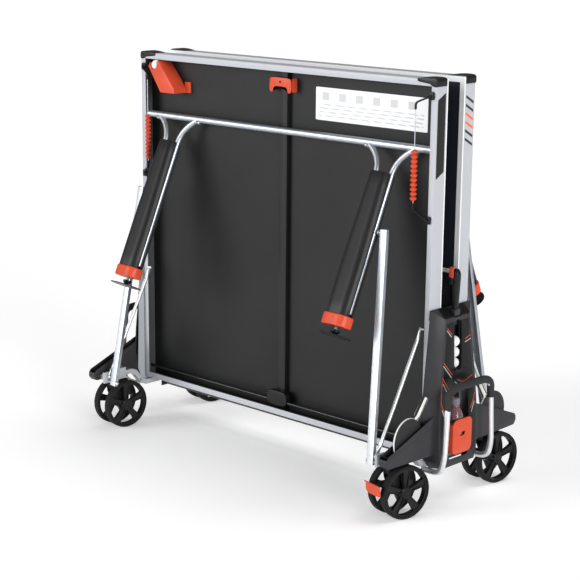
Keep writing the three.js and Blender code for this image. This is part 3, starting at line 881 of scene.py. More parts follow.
@dataclass(frozen=True)
class CoverShell(Finish):
    """The end cover: charcoal shell round a glossy black front panel with fine upright ribs."""

    hand: Hand
    shell: Colour = (0.026, 0.026, 0.029)
    panel: Colour = (0.0030, 0.0030, 0.0034)
    skin: float = 0.0035
    panel_z: Span = (0.19, 0.686)
    panel_half: float = 0.104
    inner_x: float = 0.8030
    inner_half: float = 0.075
    inner_z: float = 0.17
    rib_pitch: float = 0.0052
    rib_relief: float = 380.0

    def paint(self, g: Graph) -> Material:
        """The panel is where x meets the sloping front face.

        Args:
            g: the material's empty graph.

        Returns:
            The material.
        """
        x, y, z = g.split(g.coordinates())
        x = x * self.hand.value
        mottle = g.noise(9.0, 5.0)
        texture = g.noise(1500.0, 3.0)
        front = (x + z * COVER_SLOPE - COVER_FRONT) > -self.skin
        reach = 0.142 - z * 0.115
        panel = (front * (abs(y) < reach) * (abs(y) < self.panel_half)
                 * z.between(*self.panel_z))
        inner = (x < self.inner_x) * (abs(y) < self.inner_half) * (z > self.inner_z)
        ribs = y.folded(self.rib_pitch) * self.rib_relief
        colour = g.blend(mottle, self.shell, shaded(self.shell, 1.45))
        colour = g.blend(panel.either(inner), colour, self.panel)
        return g.finish(colour, 0.44 - panel * 0.18 + mottle * 0.1,
                        texture * 0.5 + panel * ribs, 0.00025, coat=(0.08, 0.2))


@dataclass(frozen=True)
class FramePaint(Finish):
    """The end frame: pale silver paint, and black mouldings round the post's socket."""

    socket_x: float = 0.7702
    socket_z: float = 0.60
    cap_z: float = 0.70
    back_x: float = 0.7640
    back_half: float = 0.075
    back_z: float = 0.17

    def paint(self, g: Graph) -> Material:
        """Silver, with the mouldings told apart by where they lie.

        Args:
            g: the material's empty graph.

        Returns:
            The material.
        """
        x, y, z = g.split(g.coordinates())
        clouds = g.noise(6.0, 4.0)
        peel = g.noise(900.0, 2.0)
        silver = g.blend(clouds, (0.36, 0.38, 0.40), (0.44, 0.46, 0.48))
        socket = ((abs(x) > self.socket_x) * (z > self.socket_z)).either(z > self.cap_z)
        back = (abs(x) > self.back_x) * (abs(y) < self.back_half) * (z > self.back_z)
        moulded = socket.either(back)
        colour = g.blend(moulded, silver, (0.016, 0.016, 0.018))
        return g.finish(colour, 0.32 + clouds * 0.12, peel, 0.00012, coat=(0.3, 0.2))


@dataclass(frozen=True)
class HandleWrap(Finish):
    """A bat's handle: pale wood and dark strips glued lengthwise."""

    sign: float

    def paint(self, g: Graph) -> Material:
        """Strips lie by the distance across the handle.

        Args:
            g: the material's empty graph.

        Returns:
            The material.
        """
        _, y, z = g.split(g.coordinates())
        a = BAT_TILT * self.sign
        across = (y - self.sign * BAT_PLACE[1]) * math.cos(a) + (z - BAT_PLACE[2]) * math.sin(a)
        grain = g.noise(1.0, 4.0, g.stretched((300.0, 300.0, 60.0)))
        pale = g.blend(grain, (0.62, 0.60, 0.56), (0.80, 0.79, 0.77))
        strips = (abs(across - 0.0035) < 0.0032).either(across < -0.0105)
        colour = g.blend(strips, pale, (0.03, 0.03, 0.033))
        return g.finish(colour, 0.34 + grain * 0.14, grain, 0.00015,
                        coat=(0.3, COAT_ROUGHNESS))


@dataclass(frozen=True)
class Rubber(Finish):
    """Tyre rubber: dull and pitted, dusty where it has rolled."""

    colour: Colour = (0.0085, 0.0085, 0.0092)

    def paint(self, g: Graph) -> Material:
        """Black with dust in patches over a pitted surface.

        Args:
            g: the material's empty graph.

        Returns:
            The material.
        """
        pits = g.noise(1200.0, 4.0)
        dust = g.noise(60.0, 6.0)
        colour = g.blend(dust * 0.55, self.colour, shaded(self.colour, 1.0, 0.010))
        return g.finish(colour, 0.62 + dust * 0.2, pits, 0.00025)


@dataclass(frozen=True)
class Foam(Finish):
    """Closed-cell foam grip: soft, matt and cellular."""

    colour: Colour = (0.020, 0.020, 0.021)

    def paint(self, g: Graph) -> Material:
        """Clouds of grey over cells.

        Args:
            g: the material's empty graph.

        Returns:
            The material.
        """
        cells = g.cells(650.0)
        clouds = g.noise(14.0, 4.0)
        colour = g.blend(clouds, self.colour, shaded(self.colour, 2.1))
        return g.finish(colour, 0.7 + clouds * 0.15, cells, 0.0004)


@dataclass(frozen=True)
class NetWeave(Finish):
    """Net: square meshes of cord that let light through."""

    pitch: float = 0.0125
    cord: float = 0.0011

    def paint(self, g: Graph) -> Material:
        """Cords lie at multiples of the pitch in x and z.

        Args:
            g: the material's empty graph.

        Returns:
            The material.
        """
        x, _, z = g.split(g.coordinates())
        fuzz = g.noise(900.0, 3.0)
        across = x.folded(self.pitch)
        up = z.folded(self.pitch)
        cords = (across < self.cord).either(up < self.cord)
        knots = (across + up) < self.cord * 2.1
        alpha = cords.either(knots)
        colour = g.blend(fuzz, (0.006, 0.006, 0.006), (0.03, 0.03, 0.032))
        return g.finish(colour, 0.85, fuzz, 0.0003, {"Sheen Weight": 0.3}, alpha=alpha)


@dataclass(frozen=True)
class TapeCloth(Finish):
    """Plain-woven tape along the net's edge."""

    colour: Colour

    def paint(self, g: Graph) -> Material:
        """Warp and weft are two crossed waves.

        Args:
            g: the material's empty graph.

        Returns:
            The material.
        """
        x, _, z = g.split(g.coordinates())
        weave = (x.folded(0.0011) + z.folded(0.0011)) * 900.0
        fuzz = g.noise(500.0, 3.0)
        colour = g.blend(fuzz, shaded(self.colour, 0.8), self.colour)
        return g.finish(colour, 0.8 + fuzz * 0.1, weave, 0.0003, {"Sheen Weight": 0.4})


@dataclass(frozen=True)
class ClearShell(Finish):
    """Thin clear bottle plastic with a tint."""

    colour: Colour = (0.52, 0.30, 0.34)

    def paint(self, g: Graph) -> Material:
        """A rippled tint that lets light through.

        Args:
            g: the material's empty graph.

        Returns:
            The material.
        """
        ripple = g.noise(90.0, 3.0)
        colour = g.blend(ripple, self.colour, shaded(self.colour, 1.25))
        return g.finish(colour, 0.08 + ripple * 0.08, ripple, 0.0006,
                        {"Transmission Weight": 0.75, "IOR": 1.33}, coat=(0.4, 0.05))


@dataclass(frozen=True)
class PimpledRubber(Finish):
    """Bat covering: a dark sheet over short pimples."""

    colour: Colour

    def paint(self, g: Graph) -> Material:
        """Shaded rubber over a grid of pimples.

        Args:
            g: the material's empty graph.

        Returns:
            The material.
        """
        pimples = g.cells(520.0)
        clouds = g.noise(20.0, 3.0)
        colour = g.blend(clouds, shaded(self.colour, 0.7), self.colour)
        return g.finish(colour, 0.42 + clouds * 0.14, pimples, 0.0003)


@dataclass(frozen=True)
class PrintedSheet(Finish):
    """A white stuck-on sheet with rows of pale plain marks."""

    side: Side
    printed_x: Span = (0.17, 0.665)
    printed_z: Span = (1.368, 1.462)
    boxes_z: Span = (1.43, 1.459)
    text_top: float = 1.42
    row_pitch: float = 0.014
    word_pitch: float = 0.058
    box_pitch: float = 0.082

    def paint(self, g: Graph) -> Material:
        """Marks are short bars on rows, placed by Object coordinates.

        Args:
            g: the material's empty graph.

        Returns:
            The material.
        """
        x, _, z = g.split(g.coordinates())
        x = x * self.side.value
        clouds = g.noise(30.0, 3.0)
        paper = g.blend(clouds, (0.80, 0.81, 0.82), (0.88, 0.88, 0.89))
        rows = (z - 1.372).folded(self.row_pitch) < 0.0028
        words = (x - 0.1 + z * 3.0).folded(self.word_pitch) < 0.021
        inside = x.between(*self.printed_x) * z.between(*self.printed_z)
        boxes = ((x - 0.2).folded(self.box_pitch) < 0.017) * z.between(*self.boxes_z)
        marks = (rows * words * inside * (z < self.text_top)).either(boxes * inside)
        colour = g.blend(marks * 0.5, paper, (0.30, 0.31, 0.33))
        return g.finish(colour, 0.4 + clouds * 0.1, clouds, 0.0001,
                        coat=(0.15, COAT_ROUGHNESS))


def built(finish: Finish) -> Material:
    """A dataclass field whose value is a finish's material, built with the palette."""
    return field(default_factory=finish.material)


@dataclass
class Palette:
    """Every finish that several pieces share, built once."""

    zinc: Material = built(ZincPlate("zinc_plate"))
    chrome: Material = built(
        ZincPlate("bright_plate", (0.80, 0.81, 0.82), (0.58, 0.60, 0.62)))
    silver: Material = built(FramePaint("silver_paint"))
    black_steel: Material = built(
        PowderCoat("black_paint", (0.0080, 0.0080, 0.0086), 0.42))
    black: Material = built(
        Moulded("black_plastic", (0.0075, 0.0075, 0.0082), 0.36, 0.0001, 0.1))
    charcoal: Material = built(
        Moulded("charcoal_plastic", (0.024, 0.024, 0.027), 0.46, 0.00016))
    orange: Material = built(
        Moulded("orange_plastic", (0.62, 0.070, 0.026), 0.38, 0.00008, 0.12))
    grey: Material = built(Moulded("grey_inlay", (0.42, 0.43, 0.45), 0.4))
    casing: Material = built(LegCasing("leg_casing"))
    rubber: Material = built(Rubber("tyre_rubber"))
    foam: Material = built(Foam("foam_grip"))
    ball: Material = built(Moulded("ball_plastic", (0.86, 0.86, 0.84), 0.35, 0.00005))
    bottle: Material = built(ClearShell("bottle_plastic"))
    cap: Material = built(Moulded("cap_plastic", (0.20, 0.21, 0.25), 0.4))
    net: Material = built(NetWeave("net_mesh"))
    tape: Material = built(TapeCloth("net_tape", (0.80, 0.80, 0.78)))
    bat: Material = built(PimpledRubber("bat_rubber", (0.030, 0.030, 0.032)))
    bat_edge: Material = built(TapeCloth("bat_edge", (0.82, 0.82, 0.80)))


def redress(node: str, finish: Material) -> None:
    """Give a frame node a finish in place of its plain one.

    Args:
        node: the node's name.
        finish: the material.
    """
    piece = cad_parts[node]
    piece.data.materials.clear()
    piece.data.materials.append(finish)
    log.info("%s: dressed in %s", node, finish.name)


# ------------------------------------------------------------------ fasteners


class Head(Enum):
    """Kinds of fastener head, as (radius, height) in units of the shank radius."""

    DOME = ((0.0, 0.85), (0.6, 0.8), (1.3, 0.5), (1.75, 0.12), (1.8, 0.0), (1.8, -0.3))
    NUT = ((0.0, 1.35), (0.7, 1.35), (0.95, 1.2), (0.95, 0.95), (1.55, 0.9), (1.75, 0.7),
           (1.75, 0.0), (1.75, -0.3))
    WASHER = ((0.0, 0.25), (2.3, 0.25), (2.5, 0.12), (2.5, 0.0), (2.5, -0.2))


def fastener(kind: Head, shank: float, origin: Sequence[float],
             along: Sequence[float]) -> Surface:
    """A turned head on its axis; the nut has six sides.

    Args:
        kind: which head.
        shank: the shank's radius in metres.
        origin: the middle of the seat.
        along: the outward direction.

    Returns:
        The surface.
    """
    profile = [(max(r, 1e-4) * shank, h * shank) for r, h in kind.value]
    return turned(profile, origin, along, 6 if kind is Head.NUT else 20)


# ------------------------------------------------------------------ playing halves


@dataclass
class Half:
    """One playing half with its legs, stays, counters and fittings."""

    side: Side
    palette: Palette
    bar_reach: float = 0.757
    bar_radius: float = 0.0135
    tube_radius: float = 0.011
    tube_x: float = 0.036
    casing_end: float = 0.639
    rail_ends: Span = (0.1835, 1.5465)
    label_half: Span = (0.266, 0.061)
    label_place: tuple[float, float, float] = (0.4165, -0.05305, 1.416)
    ball_place: tuple[float, float, float] = (-0.672, -0.1075, 1.5045)
    beads: int = 11
    bead_start: float = 1.125
    bead_pitch: float = 0.0164
    wire_place: Span = (0.694, -0.138)
    hook_x: float = 0.743
    hook_heights: Span = (1.494, 1.058)
    stay_foot: tuple[float, float, float] = (0.724, -0.34194, 0.232)
    stay_head: tuple[float, float, float] = (0.724, -0.108, 0.660)
    link_foot: tuple[float, float, float] = (0.6795, -0.33975, 0.210)
    link_head: tuple[float, float, float] = (0.6265, -0.22523, 1.0125)

    @property
    def body(self) -> str:
        """The body that the half's own pieces ride."""
        return self.node("top")

    def node(self, rest: str) -> str:
        """A node or body name of this half."""
        return f"{self.side.word}_{rest}"

    def hand_of(self, sign: float) -> str:
        """The world name of the end at local +x or -x."""
        return "right" if sign * self.side.value > 0 else "left"

    def piece(self, name: str, surfaces: Iterable[Surface], finish: Material,
              body: str, **kinds: object) -> bpy.types.Object:
        """Make a piece in the front half's place and turn it for the rear.

        Args:
            name: the piece's name without its half.
            surfaces: its surfaces, where they lie on the front half.
            finish: its material.
            body: the body it rides.
            kinds: what else make_piece takes.

        Returns:
            The object.
        """
        turned_round = [half_turned(s, self.side) for s in surfaces]
        return make_piece(self.node(name), turned_round, finish, body, **kinds)

    def build(self) -> None:
        """Dress the nodes and add every fitting of the half."""
        redress(self.node("playing_board"), TopLaminate(self.node("laminate"),
                                                        self.side).material())
        softened(self.node("ball_dispenser"), self.palette.orange, self.body, 0.0022)
        redress(self.node("pivot_shaft"), self.palette.black_steel)
        self.apron()
        self.corner_guards()
        self.rail()
        self.label()
        self.clasp()
        self.served_ball()
        self.legs()
        for sign in (1.0, -1.0):
            self.counter(sign)
            self.stay(sign)
            self.link(sign)

    def apron(self) -> None:
        """The rolled C-section rim: each ring of it is a rectangle with rounded corners.

        A ring at distance d inwards has half sides (A - d, B - d) and corner radius 5 mm - d,
        but never under 0.6 mm, so all rings run side by side round the rim.
        """
        per_corner = 9
        section = np.array([
            (0.0, 53.3), (0.0, 106.0), (0.35, 107.6), (1.3, 108.6), (2.8, 109.0),
            (22.6, 109.0), (23.6, 108.6), (24.0, 107.8), (24.0, 98.0), (23.3, 97.4),
            (21.4, 97.4), (21.0, 98.0), (21.0, 105.4), (20.4, 106.0),
            (4.6, 106.0), (3.5, 105.6), (3.0, 104.4), (3.0, 53.3),
        ]) / 1000.0
        inward, depth = section[:, 0], section[:, 1]
        radius = np.maximum(0.005 - inward, 0.0006)
        q = np.linspace(0, np.pi / 2, per_corner)
        angle = (np.arange(4)[:, None] * np.pi / 2 + q[None, :]).ravel()
        sx = np.repeat([1.0, -1.0, -1.0, 1.0], per_corner)
        sz = np.repeat([1.0, 1.0, -1.0, -1.0], per_corner)
        half_z = (HIGH_EDGE - LOW_EDGE) / 2
        x = sx * (HALF_WIDTH - inward - radius)[:, None] + radius[:, None] * np.cos(angle)
        z = sz * (half_z - inward - radius)[:, None] + radius[:, None] * np.sin(angle)
        y = np.broadcast_to(-depth[:, None], x.shape)
        points = np.stack([x, y, z + LOW_EDGE + half_z], axis=-1)
        self.piece("apron_rim", [Surface(points, ringed=True)],
                   ApronPaint(self.node("apron_paint"), self.side).material(), self.body,
                   replaces=[self.node("apron_frame")], slot="white_steel", crease=50.0)

    def corner_guards(self) -> None:
        """Rubbery guards over the two far corners, their outline rounded all over."""
        outline = smooth_outline([
            (0.6750, 1.5400), (0.700, 1.5370), (0.7350, 1.5330), (0.7400, 1.5270),
            (0.7500, 1.5240), (0.7655, 1.5240), (0.7662, 1.5380), (0.7650, 1.5530),
            (0.7480, 1.5565), (0.7150, 1.5562), (0.6850, 1.5525), (0.6750, 1.5505)], 3)
        middle = outline.mean(axis=0)
        guard = slab(outline - middle, (middle[0], -0.0540, middle[1]), -Y_AXIS, X_AXIS,
                     0.0574, 0.0035)
        for hand in Hand:
            self.piece(f"corner_guard_{self.hand_of(hand.value)}", [mirrored(guard, hand)],
                       self.palette.black, self.body, crease=60.0)

    def rail(self) -> None:
        """The centre rail as a rolled hat section, and the round-shouldered bearing on it."""
        section = np.array([
            (-20.5, 53.4), (-20.5, 69.3), (-19.9, 70.7), (-18.5, 71.3), (18.5, 71.3),
            (19.9, 70.7), (20.5, 69.3), (20.5, 53.4), (17.5, 53.4), (17.5, 67.6),
            (16.9, 68.3), (-16.9, 68.3), (-17.5, 67.6), (-17.5, 53.4)]) / 1000.0
        points = np.stack(np.broadcast_arrays(
            section[None, :, 0], -section[None, :, 1], np.array(self.rail_ends)[:, None]), axis=-1)
        self.piece("rail_channel", [Surface(points, capped=False)], self.palette.black_steel,
                   self.body, replaces=[self.node("centre_rail")], slot="black_steel")
        shoulder = smooth_outline([(-0.053, -0.030), (0.053, -0.030), (0.053, 0.008),
                                   (0.046, 0.026), (0.030, 0.030), (-0.030, 0.030),
                                   (-0.046, 0.026), (-0.053, 0.008)], 2)
        housing = slab(shoulder, (0.0, -0.0705, 0.242), -Y_AXIS, X_AXIS, 0.0275, 0.003)
        screws = [fastener(Head.DOME, 0.0026, (sx * 0.040, -0.098, 0.222), -Y_AXIS)
                  for sx in (-1, 1)]
        self.piece("bearing_housing", [housing], self.palette.black, self.body)
        self.piece("bearing_screws", screws, self.palette.black_steel, self.body)

    def label(self) -> None:
        """A plain printed sheet on the underside, six tenths of a millimetre thick."""
        sheet = slab(squircle(*self.label_half, 60.0, 120), self.label_place, -Y_AXIS, X_AXIS,
                     0.0006, 0.0002)
        print_finish = PrintedSheet(self.node("printed_sheet"), self.side).material()
        self.piece("info_sheet", [sheet], print_finish, self.body)

    def clasp(self) -> None:
        """The orange clasp over the rail: an arched plate with a screw in its middle."""
        outer = [(-0.056, 1.4460), (-0.040, 1.4440), (-0.036, 1.4640), (-0.026, 1.4680),
                 (0.026, 1.4680), (0.036, 1.4640), (0.040, 1.4440), (0.056, 1.4460),
                 (0.056, 1.4900), (0.050, 1.5015), (-0.050, 1.5015), (-0.056, 1.4900)]
        ring = smooth_outline(outer, 2)
        middle = ring.mean(axis=0)
        plate = slab(ring - middle, (middle[0], -0.0858, middle[1]), -Y_AXIS, X_AXIS,
                     0.0045, 0.0016)
        cheeks = [slab(squircle(0.0145, 0.0265, 6.0, 32), (sx * 0.0545, -0.0700, 1.474),
                       (sx, 0, 0), Y_AXIS, 0.0022, 0.0008) for sx in (-1, 1)]
        screw = fastener(Head.DOME, 0.0024, (0.0, -0.0903, 1.485), -Y_AXIS)
        self.piece("rail_clasp", [plate, *cheeks], self.palette.orange, self.body)
        self.piece("rail_clasp_screw", [screw], self.palette.black, self.body)

    def served_ball(self) -> None:
        """The ball that waits in the dispenser's mouth, moulded in two halves with a seam."""
        self.piece("served_ball", [ball_surface(self.ball_place)], self.palette.ball,
                   self.body)

    def legs(self) -> None:
        """Crossbar, bent leg tubes and their welds, then each leg's casing and foot.

        A tube leaves the crossbar at a slant and turns down the leg on a cubic Bezier curve,
        p = (1-s)^3 a + 3 s (1-s)^2 b + 3 s^2 (1-s) c + s^3 d, then runs straight.
        """
        bar = np.linspace([-self.bar_reach, *CROSSBAR[1:]], [self.bar_reach, *CROSSBAR[1:]], 9)
        tubes = [swept(bar, circle(self.bar_radius, 32), (0, 0, 1))]
        welds = []
        s = np.linspace(0, 1, 18)[:, None]
        a, b, c, d = np.array([[0.112, 0.002], [0.078, 0.022], [self.tube_x, 0.054],
                               [self.tube_x, 0.112]])
        bend = ((1 - s) ** 3 * a + 3 * s * (1 - s) ** 2 * b
                + 3 * s ** 2 * (1 - s) * c + s ** 3 * d)
        run = np.concatenate([bend, [[self.tube_x, 0.36], [self.tube_x, 0.626]]])
        for centre in (-LEG_X, LEG_X):
            for sx in (-1.0, 1.0):
                path = CROSSBAR + X_AXIS * (centre + sx * run[:, :1]) + LEG_DOWN * run[:, 1:]
                tubes.append(swept(path, circle(self.tube_radius, 28), (0, 1, 0.2)))
                at = CROSSBAR + X_AXIS * (centre + sx * 0.1115) + LEG_DOWN * self.bar_radius
                welds.append(turned([(0.0122, -0.002), (0.0138, 0.0), (0.0136, 0.003),
                                     (0.0112, 0.0055)], at, LEG_DOWN, 28))
        self.piece("leg_tubes", tubes, self.palette.zinc, self.node("legs"),
                   replaces=[self.node("leg_frame")], slot="zinc_steel")
        self.piece("leg_welds", welds, self.palette.zinc, self.node("legs"))
        for sign in (1.0, -1.0):
            self.leg_casing(sign)
            self.foot(sign)

    def leg_casing(self, sign: float) -> None:
        """The casing: a ridged front trough, a web between the tubes and a back strip.

        Each is an outline in the leg's own plane, carried down the leg; the trough narrows
        to five sixths at its top, so the tubes show in the groove beside it.

        Args:
            sign: +1 or -1, the side of the half.
        """
        hand = self.hand_of(sign)
        centre = CROSSBAR + X_AXIS * sign * LEG_X

        def carried(outline: Array, start: float, end: float, top: float,
                    lip: float = 0.0025) -> Surface:
            """Carry an outline down the leg, its first and last rings drawn in a little.

            Args:
                outline: points across the leg and forward of it.
                start: distance below the crossbar where it starts.
                end: distance where it ends.
                top: share of its width at the start; the whole is reached at five eighths.
                lip: length over which the ends are drawn in.

            Returns:
                The surface.
            """
            s = np.array([0.0, 0.15, 0.6, 1.0]) * lip
            along = np.concatenate([start + s, np.linspace(start, end, 12)[1:-1], end - s[::-1]])
            share = top + (1 - top) * np.clip((along - start) / (end - start) * 1.6, 0, 1)
            edge = np.minimum(along - start, end - along)
            draw = 1 - 0.045 * (1 - np.clip(edge / lip, 0, 1)) ** 2
            return lofted(centre + LEG_DOWN * along[:, None], outline, share * draw, draw,
                          X_AXIS, LEG_FORWARD)

        half = [(0.0, -0.0405), (0.026, -0.0405), (0.041, -0.0345), (0.0500, -0.0215),
                (0.0530, -0.0135), (0.0505, -0.0118), (0.0, -0.0118)]
        front = smooth_outline(half + [(-a, b) for a, b in half[-2:0:-1]], 2)
        web = squircle(0.0245, 0.0150, 8.0, 40)
        strip = squircle(0.0520, 0.0050, 5.0, 48) + np.array([0.0, 0.0096])
        casing = [carried(outline, start, self.casing_end, top) for outline, start, top in
                  ((front, 0.1085, 0.83), (web, 0.111, 0.9), (strip, 0.112, 0.86))]
        self.piece(f"leg_casing_{hand}", casing, self.palette.casing, self.node("legs"),
                   replaces=[self.node(f"leg_shell_{hand}")], slot="black_plastic")
        ring = [(0.0, -0.0445), (0.029, -0.0445), (0.0450, -0.0375), (0.0560, -0.0220),
                (0.0580, -0.0080), (0.0570, 0.0120), (0.0500, 0.0190), (0.0, 0.0190)]
        collar = smooth_outline(ring + [(-a, b) for a, b in ring[-2:0:-1]], 2)
        self.piece(f"leg_collar_{hand}", [carried(collar, 0.6385, 0.680, 1.0, 0.004)],
                   self.palette.orange, self.node("legs"))

    def foot(self, sign: float) -> None:
        """A levelling foot: a disc, a ball joint and a threaded stem.

        Args:
            sign: +1 or -1, the side of the half.
        """
        hand = self.hand_of(sign)
        pitch, depth = 0.002, 0.0005
        at = CROSSBAR + X_AXIS * sign * LEG_X
        disc = turned([(0.0001, 0.715), (0.058, 0.715), (0.0625, 0.7145), (0.064, 0.713),
                       (0.0635, 0.7115), (0.050, 0.7103), (0.022, 0.7095), (0.011, 0.7075),
                       (0.0095, 0.705)], at, LEG_DOWN, 56)
        joint = turned([(0.0001, 0.7062), (0.009, 0.7058), (0.014, 0.7035), (0.0168, 0.6995),
                        (0.0170, 0.6935), (0.015, 0.6915), (0.0001, 0.691)], at, LEG_DOWN,
                       32)
        stem_s = np.linspace(0.652, 0.692, 82)
        thread = 0.0055 + depth * np.sin(stem_s * 2 * np.pi / pitch)
        stem = turned(list(zip(thread, stem_s)), at, LEG_DOWN, 24)
        self.piece(f"foot_pad_{hand}", [disc, joint], self.palette.black,
                   self.node(f"foot_{hand}"), replaces=[self.node(f"foot_{hand}")])
        self.piece(f"foot_stem_{hand}", [stem], self.palette.zinc, self.node(f"foot_{hand}"))

    def counter(self, sign: float) -> None:
        """Score beads on a wire held by two clips.

        Args:
            sign: +1 or -1, the side of the half.
        """
        hand = self.hand_of(sign)
        x, y = sign * self.wire_place[0], self.wire_place[1]
        hook, lean = sign * self.hook_x, (1.0, 0.31, 0.17)
        profile = [(0.0034, 0.0002), (0.0062, 0.0004), (0.0070, 0.0012), (0.0115, 0.0056),
                   (0.0124, 0.0071), (0.0124, 0.0091), (0.0115, 0.0106), (0.0070, 0.0150),
                   (0.0062, 0.0158), (0.0034, 0.0160)]
        beads = [turned(profile, (x, y, self.bead_start + i * self.bead_pitch), (0, 0, 1), 24)
                 for i in range(self.beads)]
        self.piece(f"beads_{hand}", beads, self.palette.orange, self.node(f"beads_{hand}"),
                   replaces=[self.node(f"score_beads_{hand}")])
        wire = np.linspace([x, y, 1.104], [x, y, 1.454], 6)
        self.piece(f"counter_wire_{hand}", [swept(wire, circle(0.0016, 14), lean)],
                   self.palette.zinc, self.body)
        flat = squircle(0.0034, 0.0050, 4.0, 24)
        upper = [(hook, -0.1096, 1.494), (hook, -0.1240, 1.492), (x, y, 1.470), (x, y, 1.446)]
        lower = [(x, y, 1.116), (x, y, 1.094), (hook, -0.1240, 1.060), (hook, -0.1096, 1.058)]
        arms = [swept(rounded_path(path, 0.012, 7), flat, lean) for path in (upper, lower)]
        clips = [slab(squircle(0.011, 0.014, 5.0, 32), (hook, -0.1088, z), -Y_AXIS, X_AXIS,
                      0.0085, 0.002) for z in self.hook_heights]
        self.piece(f"counter_arms_{hand}", clips + arms, self.palette.black, self.body)

    def stay(self, sign: float) -> None:
        """A round stay with both ends pressed flat round their pivots.

        The section's depth shrinks and its width grows towards the eyes.

        Args:
            sign: +1 or -1, the side of the half.
        """
        hand = self.hand_of(sign)
        node = self.node(f"stay_{hand}")
        foot, head = (np.array(end) * (sign, 1.0, 1.0) for end in (self.stay_foot, self.stay_head))
        s = np.concatenate([np.linspace(0.0, 0.12, 16), np.linspace(0.14, 0.86, 10),
                            np.linspace(0.88, 1.0, 16)])
        path = foot + (head - foot) * s[:, None]
        gap = np.minimum(s, 1 - s)
        flat = np.clip(1 - (gap - 0.03) / 0.07, 0, 1)
        flat = flat * flat * (3 - 2 * flat)
        end = np.clip(gap / 0.022, 0, 1)
        width = (0.0070 + 0.0028 * flat) * np.sqrt(np.maximum(end * (2 - end), 0.02))
        depth = 0.0070 - 0.0042 * flat
        along = (head - foot) / np.linalg.norm(head - foot)
        tube = lofted(path, circle(1.0, 28), depth, width, X_AXIS, np.cross(along, X_AXIS))
        inward = -sign * X_AXIS
        bolts = [fastener(Head.DOME, 0.0046, at + inward * 0.0028, inward)
                 for at in (foot, head)]
        pin = turned([(0.0042, -0.003), (0.0045, 0.0), (0.0045, 0.0130)], head, -inward, 20)
        self.piece(f"stay_tube_{hand}", [tube, *bolts, pin], self.palette.chrome, node,
                   replaces=[node])

    def link(self, sign: float) -> None:
        """The link with its edges rounded, a rivet at its foot and a washer at its head.

        Args:
            sign: +1 or -1, the side of the half.
        """
        hand = self.hand_of(sign)
        name = self.node(f"link_{hand}")
        softened(name, self.palette.zinc, name, 0.0010)
        foot, head = (np.array(end) * (sign, 1.0, 1.0) for end in (self.link_foot, self.link_head))
        inward = -sign * X_AXIS
        rivet = fastener(Head.DOME, 0.0046, foot, inward)
        washer = fastener(Head.WASHER, 0.0042, head + inward * 0.0105, inward)
        self.piece(f"link_rivets_{hand}", [rivet, washer], self.palette.chrome, name)


def ball_surface(centre: Sequence[float], radius: float = 0.0199) -> Surface:
    """A ball with a shallow seam: r = R - 0.12 mm exp(-(q / 0.03)^2), spun about a slant axis.

    Args:
        centre: its middle.
        radius: R.

    Returns:
        The surface, whose q is the latitude.
    """
    q = np.linspace(-np.pi / 2, np.pi / 2, 33)
    seam = 0.00012 * np.exp(-(q / 0.03) ** 2)
    profile = np.stack([(radius - seam) * np.cos(q) + 1e-5, (radius - seam) * np.sin(q)], -1)
    return turned(profile, centre, (0.3, 0.8, 0.5), 48)


# ------------------------------------------------------------------ chassis ends


